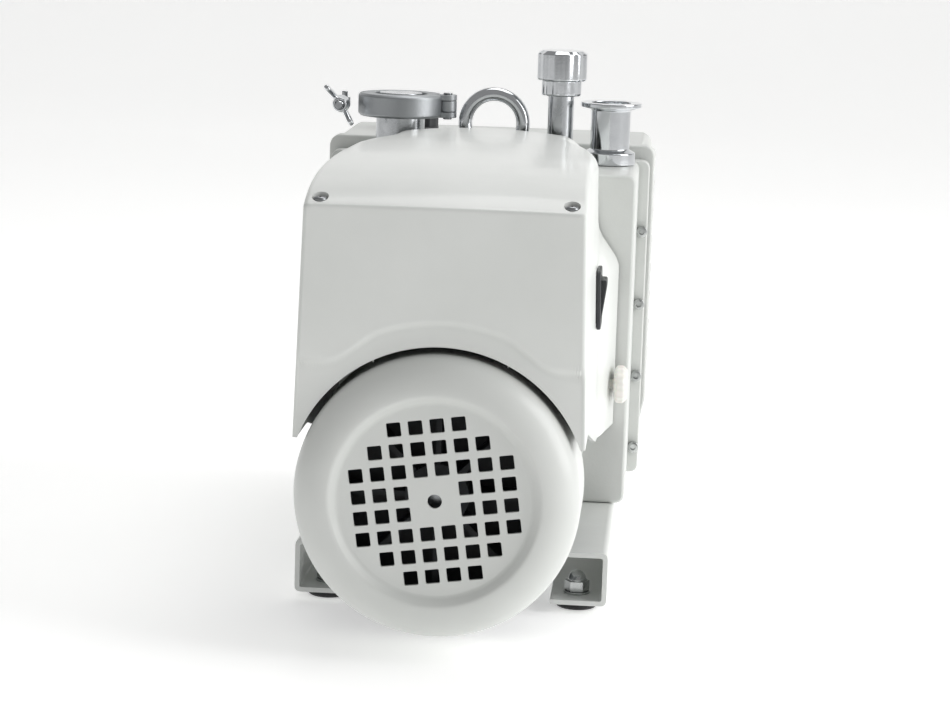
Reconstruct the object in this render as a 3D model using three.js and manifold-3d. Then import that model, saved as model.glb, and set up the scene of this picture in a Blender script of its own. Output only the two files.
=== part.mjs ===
// Rotary vane vacuum pump: a two-stage, oil-sealed pump driven by a fan-cooled motor.
// Millimetres, +Z up. The model stands on the floor plane z = 0, centred in X and Y.
// Each piece is built in the drive frame: the shaft axis is the line x = 0, z = 0, and y runs from
// the fan cowl's rim (y = 0) to the rear of the oil case. The outer group lifts that frame to
// the shaft's height and centres its length.

import * as THREE from 'three';
import { mergeVertices } from 'three/addons/utils/BufferGeometryUtils.js';
import Module from 'manifold-3d';

const wasm = await Module();
wasm.setup();

// ---------------------------------------------------------------------------------------------
// Driving dimensions
// ---------------------------------------------------------------------------------------------

const touchGap = 0.3; // left between two pieces that seat on each other
const runningGap = 0.3; // left round a shaft, pin or sliding piece
const cutOver = 1; // how far a cutter runs past the face that it cuts
const sideCut = 20; // how far one runs to each side of the cover's sheet

const floorGap = 14; // from the cowl down to the floor

// Motor
const cowlGap = 4; // between the motor's fins and the cowl
const cowlShoulderWidth = 20.5; // from the barrel in to the cowl's foremost edge
const cowlShoulderDepth = 18;
const cowlDish = 4; // the grille lies this far behind the rim
const cowlDishSlope = 3.5; // radial width of the sloping wall between rim and grille
const cowlWall = 2;
const cowlLength = 64;
const grillePitch = 12;
const grilleHole = 8;
const grilleTurn = THREE.MathUtils.degToRad(8);
const grilleRows = [2, 3, 4, 4]; // holes on each side of the centre line, outermost row first
const grilleCentreRadius = 4;

const motorFinRadius = 74;
const motorFinDepth = 6;
const motorFrameWall = 5.7;
const motorFins = 20;
const motorFinWidth = 4;
const motorFrameStart = 60;
const motorFrameLength = 145;
const endShieldDepth = 14;

const statorCoreLength = 85;
const rotorCoreRadius = 38;
const airGap = 0.6;
const windingDepth = 17;

const shaftRadius = 9.5; // coupling end
const bearingBore = 20;
const bearingOuter = 47;
const bearingWidth = 14;

const fanGap = 10; // between the fan's blades and the cowl
const fanBlades = 8;

const bellLength = 46;
const bellRadius = 58;
const bellWall = 6;
const bellFlangeStep = 1; // how far the flange stands out past the fins

const couplingRadius = 25;
const couplingZone = 10; // axial length shared by both sets of dogs and the spider
const couplingHub = 15;

// Motor cover
const coverFront = 14;
const coverWall = 3;
const coverFrontTop = 160;
const coverReach = 1.2; // half the cover's width at coverSideFoot, past the cowl's radius
const coverLean = 3.6; // how much narrower it is at coverFrontTop
const coverSideFoot = 30;
const coverRearFoot = -3;
const coverTop = 179;
const coverHoodLength = 47; // over the pump block
const coverArchGap = 4; // between the cowl and the arch over it
const coverCreaseWidth = 15;
const coverCreaseLevel = 75;
const coverCreaseDepth = 1.2;
const coverFlare = 9; // how far the air outlet at the rear of each side stands out
const coverFlareTop = 122;
const coverFlareLength = 55;

// Pump block and oil case
const blockHalfWidth = 100;
const blockTop = 156;
const blockBottom = -56;
const blockDepth = 110;
const blockFrontWall = 22;
const blockWall = 10;
const blockFlange = 12;
const blockFlangeStep = 7;

const gasketThickness = 1.4;
const caseStep = 3; // how far the case stands out past the block's flange
const caseRise = 9; // and above it
const caseDepth = 106;
const caseWall = 6;
const caseRibDepth = 3.5;
const caseRibPitch = 20;
const caseRibs = 8;

// Pump stages
const stageBoreRadius = 32.3;
const rotorRadius = 28;
const rotorOffset = 4; // the bores lie this far below the shaft axis
const statorHalfWidth = 70;
const statorTop = 40;
const statorBottom = -44;
const highStageLength = 64;
const lowStageLength = 30;
const stagePlate = 10;
const journalRadius = 12;
const vaneThickness = 5;

// Ports, all on one line across the block's top
const portRowDepth = 70; // behind the block's front
const rowCentre = 11.2; // midway between intake and exhaust, to the right of the shaft
const eyeGap = 1.5; // from the intake clamp's hinge to the lifting eye
const ballastGap = 3.5; // from the lifting eye to the ballast cap
const exhaustGap = 4.4; // from the ballast stem to the exhaust flange
const flangeRadius = 20; // KF25
const flangeRim = 3;
const flangeSeatRadius = 13.1;
const flangeSeatDepth = 3;
const flangeSpacing = 3.8; // between two clamped flange faces
const intakeHeight = 32.3;
const intakeNeck = 16;
const intakeBore = 12.5;
const exhaustHeight = 40.6;
const exhaustNeck = 13;
const exhaustBore = 11;

// Intake clamp
const clampBand = 8; // how far the clamp's band stands out past the flanges
const clampHalfHeight = 7.5;
const clampHingeStep = 3; // from the band out to the hinge
const clampBoltStep = 10; // and to the bolt on the other side
const clampBoltRadius = 2.6;
const clampPinRadius = 2;
const clampLugRadius = 6; // round the hinge pin
const clampNutSlack = 0.9; // lets the nut swing clear of the front lug
const wingTurn = THREE.MathUtils.degToRad(-54);
const wingSpan = 32;

// Gas ballast valve and lifting eye
const ballastStemRadius = 8.5;
const ballastCollarRadius = 13.2;
const ballastCapRadius = 16.5;
const ballastCollarBase = 43.8; // above the block's top
const ballastCollarHeight = 9.9;
const ballastCapHeight = 19.6;
const eyeOuterRadius = 23.5;
const eyeWireRadius = 4.5;
const eyeHeight = 47.7;

// Base frame and feet
const baseFrontReach = 135; // ahead of the block
const baseRearReach = 48; // behind the oil case's front
const baseHalfWidth = 94;
const baseSheet = 3;
const motorClearance = 4; // round the motor, where it sinks between the base's sides
const baseLip = 34;
const footHeight = 5;
const footRadius = 13;
const footInset = 20; // from each end of the base to a foot's centre

// Switch, inlet and the cover's fasteners
const switchSetback = 75; // ahead of the block, as are the two below
const switchZ = 89;
const switchWidth = 30;
const switchHeight = 36;
const inletSetback = 115;
const inletZ = 100;
const knobSetback = 15;
const knobZ = 25;
const knobRadius = 12;
const screwSideInset = 8.6;
const screwInset = 7.5; // behind the cover's front

// Sight glass and plugs
const sightZ = -2;
const sightRadius = 22;
const drainZ = -41;
const drainHead = 12;
const fillX = -58;
const fillSetback = 53; // behind the oil case's front
const fillRadius = 17;
const fillHeight = 15;

// ---------------------------------------------------------------------------------------------
// Places that follow from the driving dimensions
// ---------------------------------------------------------------------------------------------

const blockFlangeHalfWidth = blockHalfWidth + blockFlangeStep;
const caseHalfWidth = blockFlangeHalfWidth + caseStep;
const caseTop = blockTop + caseRise;
const clampRadius = flangeRadius + clampBand;
const clampHingeReach = clampRadius + clampHingeStep;
const clampBoltReach = clampRadius + clampBoltStep;
const intakeToEye = clampHingeReach + clampLugRadius + eyeGap + eyeOuterRadius;
const eyeToBallast = eyeOuterRadius + ballastGap + ballastCapRadius;
const ballastToExhaust = ballastStemRadius + exhaustGap + flangeRadius;
const intakeX = rowCentre - (intakeToEye + eyeToBallast + ballastToExhaust) / 2;
const eyeX = intakeX + intakeToEye;
const ballastX = eyeX + eyeToBallast;
const exhaustX = ballastX + ballastToExhaust;
const cowlRadius = motorFinRadius + cowlGap + cowlWall;
const cowlRimRadius = cowlRadius - cowlShoulderWidth;
const axisHeight = cowlRadius + floorGap; // shaft axis above the floor
const motorBodyRadius = motorFinRadius - motorFinDepth;
const motorBoreRadius = motorBodyRadius - motorFrameWall;
const fanRadius = cowlRadius - cowlWall - fanGap;
const bellFlangeRadius = motorFinRadius + bellFlangeStep;
const coverHalfWidthLow = cowlRadius + coverReach; // at coverSideFoot
const coverHalfWidthTop = coverHalfWidthLow - coverLean; // at coverFrontTop
const coverArchRadius = cowlRadius + coverArchGap;
const coverCreaseRadius = coverArchRadius + coverCreaseWidth;
const motorFrameEnd = motorFrameStart + motorFrameLength;
const shieldEnd = motorFrameEnd + endShieldDepth;
const blockFront = shieldEnd + bellLength;
const blockRear = blockFront + blockDepth;
const caseFront = blockRear + gasketThickness + 2 * touchGap;
const caseRear = caseFront + caseDepth;
const overallLength = caseRear + drainHead;
const highStageStart = blockFront + blockFrontWall + touchGap;
const highStageEnd = highStageStart + highStageLength;
const middlePlateEnd = highStageEnd + touchGap + stagePlate;
const lowStageStart = middlePlateEnd + touchGap;
const lowStageEnd = lowStageStart + lowStageLength;
const couplingStart = shieldEnd + (bellLength - 2 * couplingHub - couplingZone) / 2;
const dogsStart = couplingStart + couplingHub;
const dogsEnd = dogsStart + couplingZone;
const couplingEnd = dogsEnd + couplingHub;
const statorCoreStart = motorFrameStart + (motorFrameLength - statorCoreLength) / 2;
const statorCoreEnd = statorCoreStart + statorCoreLength;
const fanBearingStart = motorFrameStart - bearingWidth / 2;
const driveBearingStart = motorFrameEnd - bearingWidth / 2;
const coverHoodEnd = blockFront + coverHoodLength;
const portRow = blockFront + portRowDepth;
const baseFront = blockFront - baseFrontReach;
const baseRear = caseFront + baseRearReach;
const switchY = blockFront - switchSetback;
const inletY = blockFront - inletSetback;
const knobY = blockFront - knobSetback;
const screwX = coverHalfWidthTop - screwSideInset;
const screwY = coverFront + screwInset;
const fillY = caseFront + fillSetback;
const flangeMiddle = intakeHeight + flangeSpacing / 2; // above the block's top
const coverSideEnd = blockFront - 2;
const baseTop = blockBottom - touchGap;
const baseBottom = -axisHeight + footHeight + touchGap;

const coverSlope = (coverHalfWidthLow - coverHalfWidthTop) / (coverFrontTop - coverSideFoot);
const coverHalfWidth = (z) => coverHalfWidthTop + (coverFrontTop - z) * coverSlope;
const knobShare = (knobY - coverSideEnd + coverFlareLength) / coverFlareLength; // of the flare
const knobReach = coverHalfWidth(0) + coverFlare * knobShare + 1.6;

// ---------------------------------------------------------------------------------------------
// Finishes
// ---------------------------------------------------------------------------------------------

function finish(color, roughness, metalness) {
  return new THREE.MeshStandardMaterial({ color, roughness, metalness });
}

const whitePaint = finish(0xe4e6e3, 0.35, 0);
const cowlPaint = finish(0xd6d8d6, 0.4, 0);
const castPaint = finish(0xd2d4d1, 0.5, 0);
const basePaint = finish(0xe0e2df, 0.45, 0);
const blackPlastic = finish(0x17181b, 0.45, 0);
const fanPlastic = finish(0x2a2c2e, 0.6, 0);
const rubber = finish(0x1b1b1c, 0.9, 0);
const steel = finish(0xa9abad, 0.35, 1);
const stainless = finish(0xc9cbcd, 0.25, 1);
const chrome = finish(0xdadcde, 0.12, 1);
const castAluminium = finish(0xaeb1b3, 0.55, 1);
const castIron = finish(0x6a6c6e, 0.6, 1);
const laminations = finish(0x77797b, 0.5, 1);
const copper = finish(0xb4713f, 0.45, 1);
const spiderRubber = finish(0x9e2f24, 0.7, 0);
const vaneComposite = finish(0x4a3f33, 0.6, 0);
const gasketSheet = finish(0x3f4a3f, 0.9, 0);
const sealRubber = finish(0x5b2f22, 0.8, 0);
const sightGlass = finish(0xe7ecec, 0.05, 0);
const whiteNylon = finish(0xecebe6, 0.4, 0);

// ---------------------------------------------------------------------------------------------
// Tools: geometries become closed solids that can be joined and cut
// ---------------------------------------------------------------------------------------------

function toSolid(geometry) {
  const bare = geometry.clone();
  bare.deleteAttribute('normal');
  bare.deleteAttribute('uv');
  const merged = mergeVertices(bare, 1e-4);
  const position = merged.getAttribute('position');
  const index = merged.getIndex();
  const [a, b, c] = [new THREE.Vector3(), new THREE.Vector3(), new THREE.Vector3()];
  const triangles = [];
  let volume = 0;
  for (let i = 0; i < index.count; i += 3) {
    const corner = [index.getX(i), index.getX(i + 1), index.getX(i + 2)];
    if (new Set(corner).size < 3) continue;
    triangles.push(corner);
    a.fromBufferAttribute(position, corner[0]);
    b.fromBufferAttribute(position, corner[1]);
    c.fromBufferAttribute(position, corner[2]);
    volume += a.dot(b.cross(c));
  }
  const outward = volume < 0 ? triangles.map(([p, q, r]) => [p, r, q]) : triangles;
  return new wasm.Manifold(new wasm.Mesh({
    numProp: 3,
    vertProperties: new Float32Array(position.array),
    triVerts: new Uint32Array(outward.flat()),
  }));
}

function toGeometry(solid) {
  const mesh = solid.getMesh();
  const geometry = new THREE.BufferGeometry();
  geometry.setAttribute('position', new THREE.BufferAttribute(mesh.vertProperties, mesh.numProp));
  geometry.setIndex(new THREE.BufferAttribute(mesh.triVerts, 1));
  geometry.computeVertexNormals();
  return geometry;
}

const join = (...solids) => solids.reduce((whole, next) => whole.add(next));
const cut = (whole, ...tools) => tools.reduce((left, tool) => left.subtract(tool), whole);

// Extrusions. The outline's two coordinates are the two axes that the name leaves out, in X, Y, Z order.
function extrude(outline, depth, curveSegments) {
  return new THREE.ExtrudeGeometry(outline, { depth, bevelEnabled: false, curveSegments });
}

function alongZ(outline, z0, z1, curveSegments = 8) {
  return toSolid(extrude(outline, z1 - z0, curveSegments).translate(0, 0, z0));
}

function alongY(outline, y0, y1, curveSegments = 8) {
  return toSolid(extrude(outline, y1 - y0, curveSegments).rotateX(Math.PI / 2).translate(0, y1, 0));
}

const yzToWorld = new THREE.Matrix4().makeBasis(
  new THREE.Vector3(0, 1, 0), new THREE.Vector3(0, 0, 1), new THREE.Vector3(1, 0, 0));

function alongX(outline, x0, x1, curveSegments = 8) {
  return toSolid(extrude(outline, x1 - x0, curveSegments).applyMatrix4(yzToWorld).translate(x0, 0, 0));
}

function box([x0, x1], [y0, y1], [z0, z1]) {
  const geometry = new THREE.BoxGeometry(x1 - x0, y1 - y0, z1 - z0);
  return toSolid(geometry.translate((x0 + x1) / 2, (y0 + y1) / 2, (z0 + z1) / 2));
}

function rectangle(u0, v0, u1, v1, radius = 0) {
  const outline = new THREE.Shape();
  if (radius === 0) {
    outline.moveTo(u0, v0).lineTo(u1, v0).lineTo(u1, v1).lineTo(u0, v1);
    return outline;
  }
  outline.moveTo(u0 + radius, v0);
  outline.lineTo(u1 - radius, v0).absarc(u1 - radius, v0 + radius, radius, -Math.PI / 2, 0);
  outline.lineTo(u1, v1 - radius).absarc(u1 - radius, v1 - radius, radius, 0, Math.PI / 2);
  outline.lineTo(u0 + radius, v1).absarc(u0 + radius, v1 - radius, radius, Math.PI / 2, Math.PI);
  outline.lineTo(u0, v0 + radius).absarc(u0 + radius, v0 + radius, radius, Math.PI, 1.5 * Math.PI);
  return outline;
}

function polygon(points) {
  return new THREE.Shape(points.map(([u, v]) => new THREE.Vector2(u, v)));
}

// Turned pieces. A profile is a closed loop of [radius, place along the axis].
function lathe(profile, segments) {
  const loop = [...profile, profile[0]].map(([radius, along]) => new THREE.Vector2(radius, along));
  return new THREE.LatheGeometry(loop, segments);
}

const turnedY = (profile, segments = 20) => toSolid(lathe(profile, segments));
const turnedZ = (profile, segments = 20) => toSolid(lathe(profile, segments).rotateX(Math.PI / 2));

// A turned piece whose axis is +X, for what stands on the cover's sides.
const turnedX = (profile, segments = 16) => toSolid(lathe(profile, segments).rotateZ(-Math.PI / 2));

const rodProfile = (radius, from, to) => [[0, from], [radius, from], [radius, to], [0, to]];
const ringProfile = (inner, outer, from, to) => [[inner, from], [outer, from], [outer, to], [inner, to]];
const rodY = (radius, from, to, segments) => turnedY(rodProfile(radius, from, to), segments);
const rodZ = (radius, from, to, segments) => turnedZ(rodProfile(radius, from, to), segments);

// The cover's top, as heights along y: steep behind the front edge, then nearly level.
const coverCrown = [
  [coverFront, coverFrontTop],
  [coverFront + 29, coverFrontTop + 12.5],
  [coverFront + 80, coverTop - 1],
  [coverFront + 116, coverTop + 1],
  [coverFront + 196, coverTop + 1],
];

// ---------------------------------------------------------------------------------------------
// The assembly
// ---------------------------------------------------------------------------------------------

const pump = new THREE.Group();
pump.position.set(0, -overallLength / 2, axisHeight);

function unit(x = 0, y = 0, z = 0, parent = pump) {
  const group = new THREE.Group();
  group.position.set(x, y, z);
  parent.add(group);
  return group;
}

function place(name, solid, material, parent = pump) {
  const mesh = new THREE.Mesh(toGeometry(solid), material);
  mesh.name = name;
  parent.add(mesh);
  return mesh;
}

// ---- Base frame: a folded channel with inward lips and a notch for the motor, on rubber feet ----

function baseFrame() {
  const channel = polygon([
    [-baseHalfWidth, baseBottom], [-baseHalfWidth + baseLip, baseBottom],
    [-baseHalfWidth + baseLip, baseBottom + baseSheet], [-baseHalfWidth + baseSheet, baseBottom + baseSheet],
    [-baseHalfWidth + baseSheet, baseTop - baseSheet], [baseHalfWidth - baseSheet, baseTop - baseSheet],
    [baseHalfWidth - baseSheet, baseBottom + baseSheet], [baseHalfWidth - baseLip, baseBottom + baseSheet],
    [baseHalfWidth - baseLip, baseBottom], [baseHalfWidth, baseBottom],
    [baseHalfWidth, baseTop], [-baseHalfWidth, baseTop],
  ]);
  const reach = Math.sqrt(bellFlangeRadius ** 2 - baseTop ** 2) + motorClearance;
  const notch = box([-reach, reach], [baseFront - cutOver, blockFront],
    [baseTop - baseSheet - cutOver, baseTop + cutOver]);
  return cut(alongY(channel, baseFront, baseRear), notch);
}

function rubberFoot() {
  return turnedZ([[0, 0], [footRadius - 1.5, 0], [footRadius, 1.5], [footRadius, footHeight],
    [0, footHeight]], 16);
}

place('base_frame', baseFrame(), basePaint);
const footX = baseHalfWidth - baseLip / 2 - baseSheet / 2;
const footPlaces = {
  foot_front_left: [-footX, baseFront + footInset],
  foot_front_right: [footX, baseFront + footInset],
  foot_rear_left: [-footX, baseRear - footInset],
  foot_rear_right: [footX, baseRear - footInset],
};
for (const [name, [x, y]] of Object.entries(footPlaces)) {
  place(name, rubberFoot(), rubber, unit(x, y, -axisHeight));
}

// ---- Motor ----

function cowlShoulder(rimRadius, outerRadius, front, depth, steps) {
  const points = [];
  for (let i = 0; i <= steps; i += 1) {
    const t = (i / steps) * (Math.PI / 2);
    points.push([rimRadius + (outerRadius - rimRadius) * Math.sin(t), front + depth * (1 - Math.cos(t))]);
  }
  return points;
}

function grilleCutters() {
  const rows = [...grilleRows, ...[...grilleRows].reverse()];
  const holes = [];
  rows.forEach((half, row) => {
    const v = (row - (rows.length - 1) / 2) * grillePitch;
    const inner = row === 3 || row === 4 ? 1 : 0; // the two middle rows leave the hub blank
    for (let column = inner; column < half; column += 1) {
      const u = (column + 0.5) * grillePitch;
      holes.push([u, v], [-u, v]);
    }
  });
  const h = grilleHole / 2;
  const outlines = holes.map(([u, v]) => rectangle(u - h, v - h, u + h, v + h));
  const centre = new THREE.Shape();
  centre.absarc(0, 0, grilleCentreRadius, 0, 2 * Math.PI);
  const through = [cowlDish - cutOver, cowlDish + cowlWall + cutOver];
  const squares = extrude([...outlines, centre], through[1] - through[0], 6);
  return toSolid(squares.rotateZ(grilleTurn).rotateX(Math.PI / 2).translate(0, through[1], 0));
}

function fanCowl() {
  const wallRadius = cowlRadius - cowlWall;
  const outer = cowlShoulder(cowlRimRadius + 0.8, cowlRadius, 0, cowlShoulderDepth, 4);
  const inner = cowlShoulder(cowlRimRadius + 0.8, wallRadius, cowlWall, cowlShoulderDepth, 2).reverse();
  const shell = turnedY([
    [0, cowlDish], [cowlRimRadius - cowlDishSlope, cowlDish], [cowlRimRadius - 0.8, 0],
    ...outer,
    [cowlRadius, cowlLength], [wallRadius, cowlLength],
    ...inner,
    [cowlRimRadius - 0.2, cowlWall], [cowlRimRadius - cowlDishSlope + 0.6, cowlDish + cowlWall],
    [0, cowlDish + cowlWall],
  ], 36);
  return cut(shell, grilleCutters());
}

function finnedFrame() {
  const outline = new THREE.Shape();
  for (let fin = 0; fin < motorFins; fin += 1) {
    const middle = (fin / motorFins) * 2 * Math.PI;
    const root = motorFinWidth / 2 / motorBodyRadius;
    const tip = motorFinWidth / 2 / motorFinRadius;
    const corners = [[motorBodyRadius, -root], [motorFinRadius, -tip], [motorFinRadius, tip],
      [motorBodyRadius, root]];
    corners.forEach(([radius, turn], i) => {
      const [u, v] = [radius * Math.cos(middle + turn), radius * Math.sin(middle + turn)];
      if (fin === 0 && i === 0) outline.moveTo(u, v);
      else outline.lineTo(u, v);
    });
  }
  outline.holes.push(new THREE.Path().absarc(0, 0, motorBoreRadius, 0, 2 * Math.PI, true));
  return alongY(outline, motorFrameStart, motorFrameEnd, 16);
}

// An end shield is a disc with a bearing pocket. Depths are measured from the frame's end, outwards.
function endShield(frameEnd, outwards, rimRadius, rimDepth) {
  const pocket = bearingOuter / 2 + touchGap;
  const boss = pocket + 9;
  const at = (depth) => frameEnd + outwards * depth;
  return turnedY([
    [pocket, at(-9)], [boss, at(-9)], [boss, at(touchGap)], [rimRadius, at(touchGap)],
    [rimRadius, at(rimDepth)], [boss, at(rimDepth)], [boss, at(endShieldDepth)],
    [pocket, at(endShieldDepth)],
  ]);
}

function motorShaft() {
  const seat = bearingBore / 2;
  const core = seat + 2;
  const tail = seat - 2;
  return turnedY([
    [0, 16], [tail, 16], [tail, fanBearingStart - 1], [seat, fanBearingStart - 1],
    [seat, fanBearingStart + bearingWidth + 1], [core, fanBearingStart + bearingWidth + 1],
    [core, driveBearingStart - 1], [seat, driveBearingStart - 1],
    [seat, driveBearingStart + bearingWidth + 1], [shaftRadius, driveBearingStart + bearingWidth + 1],
    [shaftRadius, dogsStart - 2], [0, dogsStart - 2],
  ], 16);
}

function ballBearing(start) {
  const bore = bearingBore / 2 + touchGap;
  const shell = bearingOuter / 2;
  const end = start + bearingWidth;
  return turnedY([
    [bore, start], [shell, start], [shell, end], [bore, end],
  ], 16);
}

function coolingFan() {
  const bore = bearingBore / 2 - 2 + touchGap;
  const start = cowlShoulderDepth;
  const end = start + 28;
  const hub = turnedY(ringProfile(bore, 18, start, end), 20);
  const plate = turnedY(ringProfile(17, fanRadius, end - 3, end));
  let fan = join(hub, plate);
  for (let blade = 0; blade < fanBlades; blade += 1) {
    const geometry = new THREE.BoxGeometry(fanRadius - 17, 24, 3);
    geometry.translate((fanRadius + 15) / 2, start + 14, 0);
    fan = fan.add(toSolid(geometry.rotateY((blade / fanBlades) * 2 * Math.PI)));
  }
  return fan;
}

function terminalBox() {
  const foot = motorFinRadius + touchGap;
  const outline = rectangle(-42, statorCoreStart, 42, statorCoreEnd, 8);
  const lid = rectangle(-44, statorCoreStart - 2, 44, statorCoreEnd + 2, 9);
  return join(alongZ(outline, foot, foot + 32, 2), alongZ(lid, foot + 31, foot + 38, 2));
}

const motor = unit();
place('fan_cowl', fanCowl(), cowlPaint, motor);
place('motor_frame', finnedFrame(), castAluminium, motor);
place('end_shield_fan_side', endShield(motorFrameStart, -1, motorFinRadius, 6), castAluminium, motor);
place('end_shield_drive_side', endShield(motorFrameEnd, 1, bellFlangeRadius, endShieldDepth),
  castAluminium, motor);
place('stator_core', turnedY(ringProfile(rotorCoreRadius + airGap, motorBoreRadius - touchGap,
  statorCoreStart, statorCoreEnd), 32), laminations, motor);
place('winding_fan_side', turnedY(ringProfile(rotorCoreRadius + 4, motorBoreRadius - 3,
  statorCoreStart - windingDepth, statorCoreStart - touchGap), 16), copper, motor);
place('winding_drive_side', turnedY(ringProfile(rotorCoreRadius + 4, motorBoreRadius - 3,
  statorCoreEnd + touchGap, statorCoreEnd + windingDepth), 16), copper, motor);
place('rotor_core', turnedY(ringProfile(bearingBore / 2 + 2 + touchGap, rotorCoreRadius,
  statorCoreStart, statorCoreEnd)), laminations, motor);
place('motor_shaft', motorShaft(), steel, motor);
place('bearing_fan_side', ballBearing(fanBearingStart), steel, motor);
place('bearing_drive_side', ballBearing(driveBearingStart), steel, motor);
place('cooling_fan', coolingFan(), fanPlastic, motor);
place('terminal_box', terminalBox(), blackPlastic, motor);

// ---- Bell housing and jaw coupling ----

function bellHousing() {
  const bore = bellRadius - bellWall;
  const [start, end] = [shieldEnd + touchGap, blockFront - touchGap];
  const shell = turnedY([
    [bore, start], [bellFlangeRadius, start], [bellFlangeRadius, start + 7], [bellRadius, start + 10],
    [bellRadius, end - 10], [bellFlangeRadius, end - 7], [bellFlangeRadius, end], [bore, end],
  ], 28);
  const middle = (start + end) / 2;
  const window = rectangle(middle - 10, -18, middle + 10, 18);
  return cut(shell, alongX(window, -bellFlangeRadius, bellFlangeRadius));
}

function sector(inner, outer, halfAngle) {
  const outline = new THREE.Shape();
  outline.absarc(0, 0, outer, -halfAngle, halfAngle, false);
  outline.absarc(0, 0, inner, halfAngle, -halfAngle, true);
  return outline;
}

const dogHalfAngle = THREE.MathUtils.degToRad(14);

function couplingTeeth(count, firstAngle, inner, from, to) {
  const teeth = [];
  for (let tooth = 0; tooth < count; tooth += 1) {
    const outline = sector(inner, couplingRadius, dogHalfAngle);
    const geometry = extrude(outline, to - from, 2).rotateX(Math.PI / 2).translate(0, to, 0);
    geometry.rotateY(firstAngle + (tooth / count) * 2 * Math.PI);
    teeth.push(toSolid(geometry));
  }
  return join(...teeth);
}

function couplingHalf(bore, hubFrom, hubTo, dogsFrom, dogsTo, firstAngle) {
  const hub = turnedY(ringProfile(bore, couplingRadius, hubFrom, hubTo));
  return join(hub, couplingTeeth(3, firstAngle, couplingRadius * 0.6, dogsFrom, dogsTo));
}

function couplingSpider() {
  const [from, to] = [dogsStart + touchGap, dogsEnd - touchGap];
  const ring = turnedY(ringProfile(couplingRadius * 0.36, couplingRadius * 0.58, from, to), 16);
  return join(ring, couplingTeeth(6, Math.PI / 6, couplingRadius * 0.54, from, to));
}

const drive = unit();
place('bell_housing', bellHousing(), castPaint, drive);
place('coupling_motor_half', couplingHalf(shaftRadius + touchGap, couplingStart, dogsStart,
  dogsStart - 0.5, dogsEnd - touchGap, 0), castAluminium, drive);
place('coupling_spider', couplingSpider(), spiderRubber, drive);
place('coupling_pump_half', couplingHalf(journalRadius - 2 + touchGap, dogsEnd, couplingEnd,
  dogsStart + touchGap, dogsEnd + 0.5, Math.PI / 3), castAluminium, drive);

// ---- Motor cover: one shell with an arch round the cowl and a hood over the block ----

function coverSide(inset, rearEnd, foot) {
  const outline = new THREE.Shape();
  outline.moveTo(coverFront + inset, foot);
  outline.lineTo(coverFront + inset, coverFrontTop - inset * 0.7);
  const crown = coverCrown.slice(1).map(([y, z]) => new THREE.Vector2(y, z - inset));
  outline.splineThru(crown);
  outline.lineTo(rearEnd, coverTop - inset);
  return outline;
}

function coverBody(inset, rearEnd) {
  const side = coverSide(inset, rearEnd, inset === 0 ? coverSideFoot : coverRearFoot - cutOver);
  if (inset === 0) {
    side.lineTo(rearEnd, blockTop + 2);
    side.lineTo(coverSideEnd, blockTop + 2);
    side.lineTo(coverSideEnd, coverRearFoot);
    side.lineTo(coverFront + 186, coverRearFoot);
    side.lineTo(coverFront + 46, coverSideFoot);
  } else {
    side.lineTo(rearEnd, coverRearFoot - cutOver);
  }
  const low = coverRearFoot - 2 * cutOver;
  const high = coverTop + 5;
  const section = polygon([
    [-coverHalfWidth(low) + inset, low], [coverHalfWidth(low) - inset, low],
    [coverHalfWidth(high) - inset, high], [-coverHalfWidth(high) + inset, high],
  ]);
  const wide = blockHalfWidth + cutOver;
  return alongX(side, -wide, wide, 3).intersect(alongY(section, 0, rearEnd + cutOver));
}

// The air outlets: the rear of each side leans outwards, below the flare's top.
function coverFlares(inset, foot, rearEnd) {
  const from = coverSideEnd - coverFlareLength;
  const root = coverHalfWidth(coverFlareTop) - coverWall - 1;
  const reach = coverHalfWidth(0) - inset;
  const solids = [-1, 1].map((side) => {
    const plan = polygon([
      [side * root, from], [side * reach, from], [side * (reach + coverFlare), rearEnd],
      [side * root, rearEnd],
    ]);
    return alongZ(plan, foot, coverFlareTop - inset);
  });
  return join(...solids);
}

function creaseCutter() {
  const turn = coverCreaseRadius * 0.5;
  const height = Math.sqrt(coverCreaseRadius ** 2 - turn ** 2);
  const run = turn + (height - coverCreaseLevel) * (height / turn);
  const wide = coverHalfWidthLow + 5;
  const outline = new THREE.Shape();
  const angle = Math.atan2(height, turn);
  outline.moveTo(-wide, 0);
  outline.lineTo(wide, 0);
  outline.lineTo(wide, coverCreaseLevel);
  outline.lineTo(run + 12, coverCreaseLevel);
  outline.quadraticCurveTo(run, coverCreaseLevel, turn, height);
  outline.absarc(0, 0, coverCreaseRadius, angle, Math.PI - angle, false);
  outline.quadraticCurveTo(-run, coverCreaseLevel, -run - 12, coverCreaseLevel);
  outline.lineTo(-wide, coverCreaseLevel);
  return alongY(outline, coverFront - cutOver, coverFront + coverCreaseDepth, 10);
}

const screwSeat = coverFrontTop + 1.5;

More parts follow.
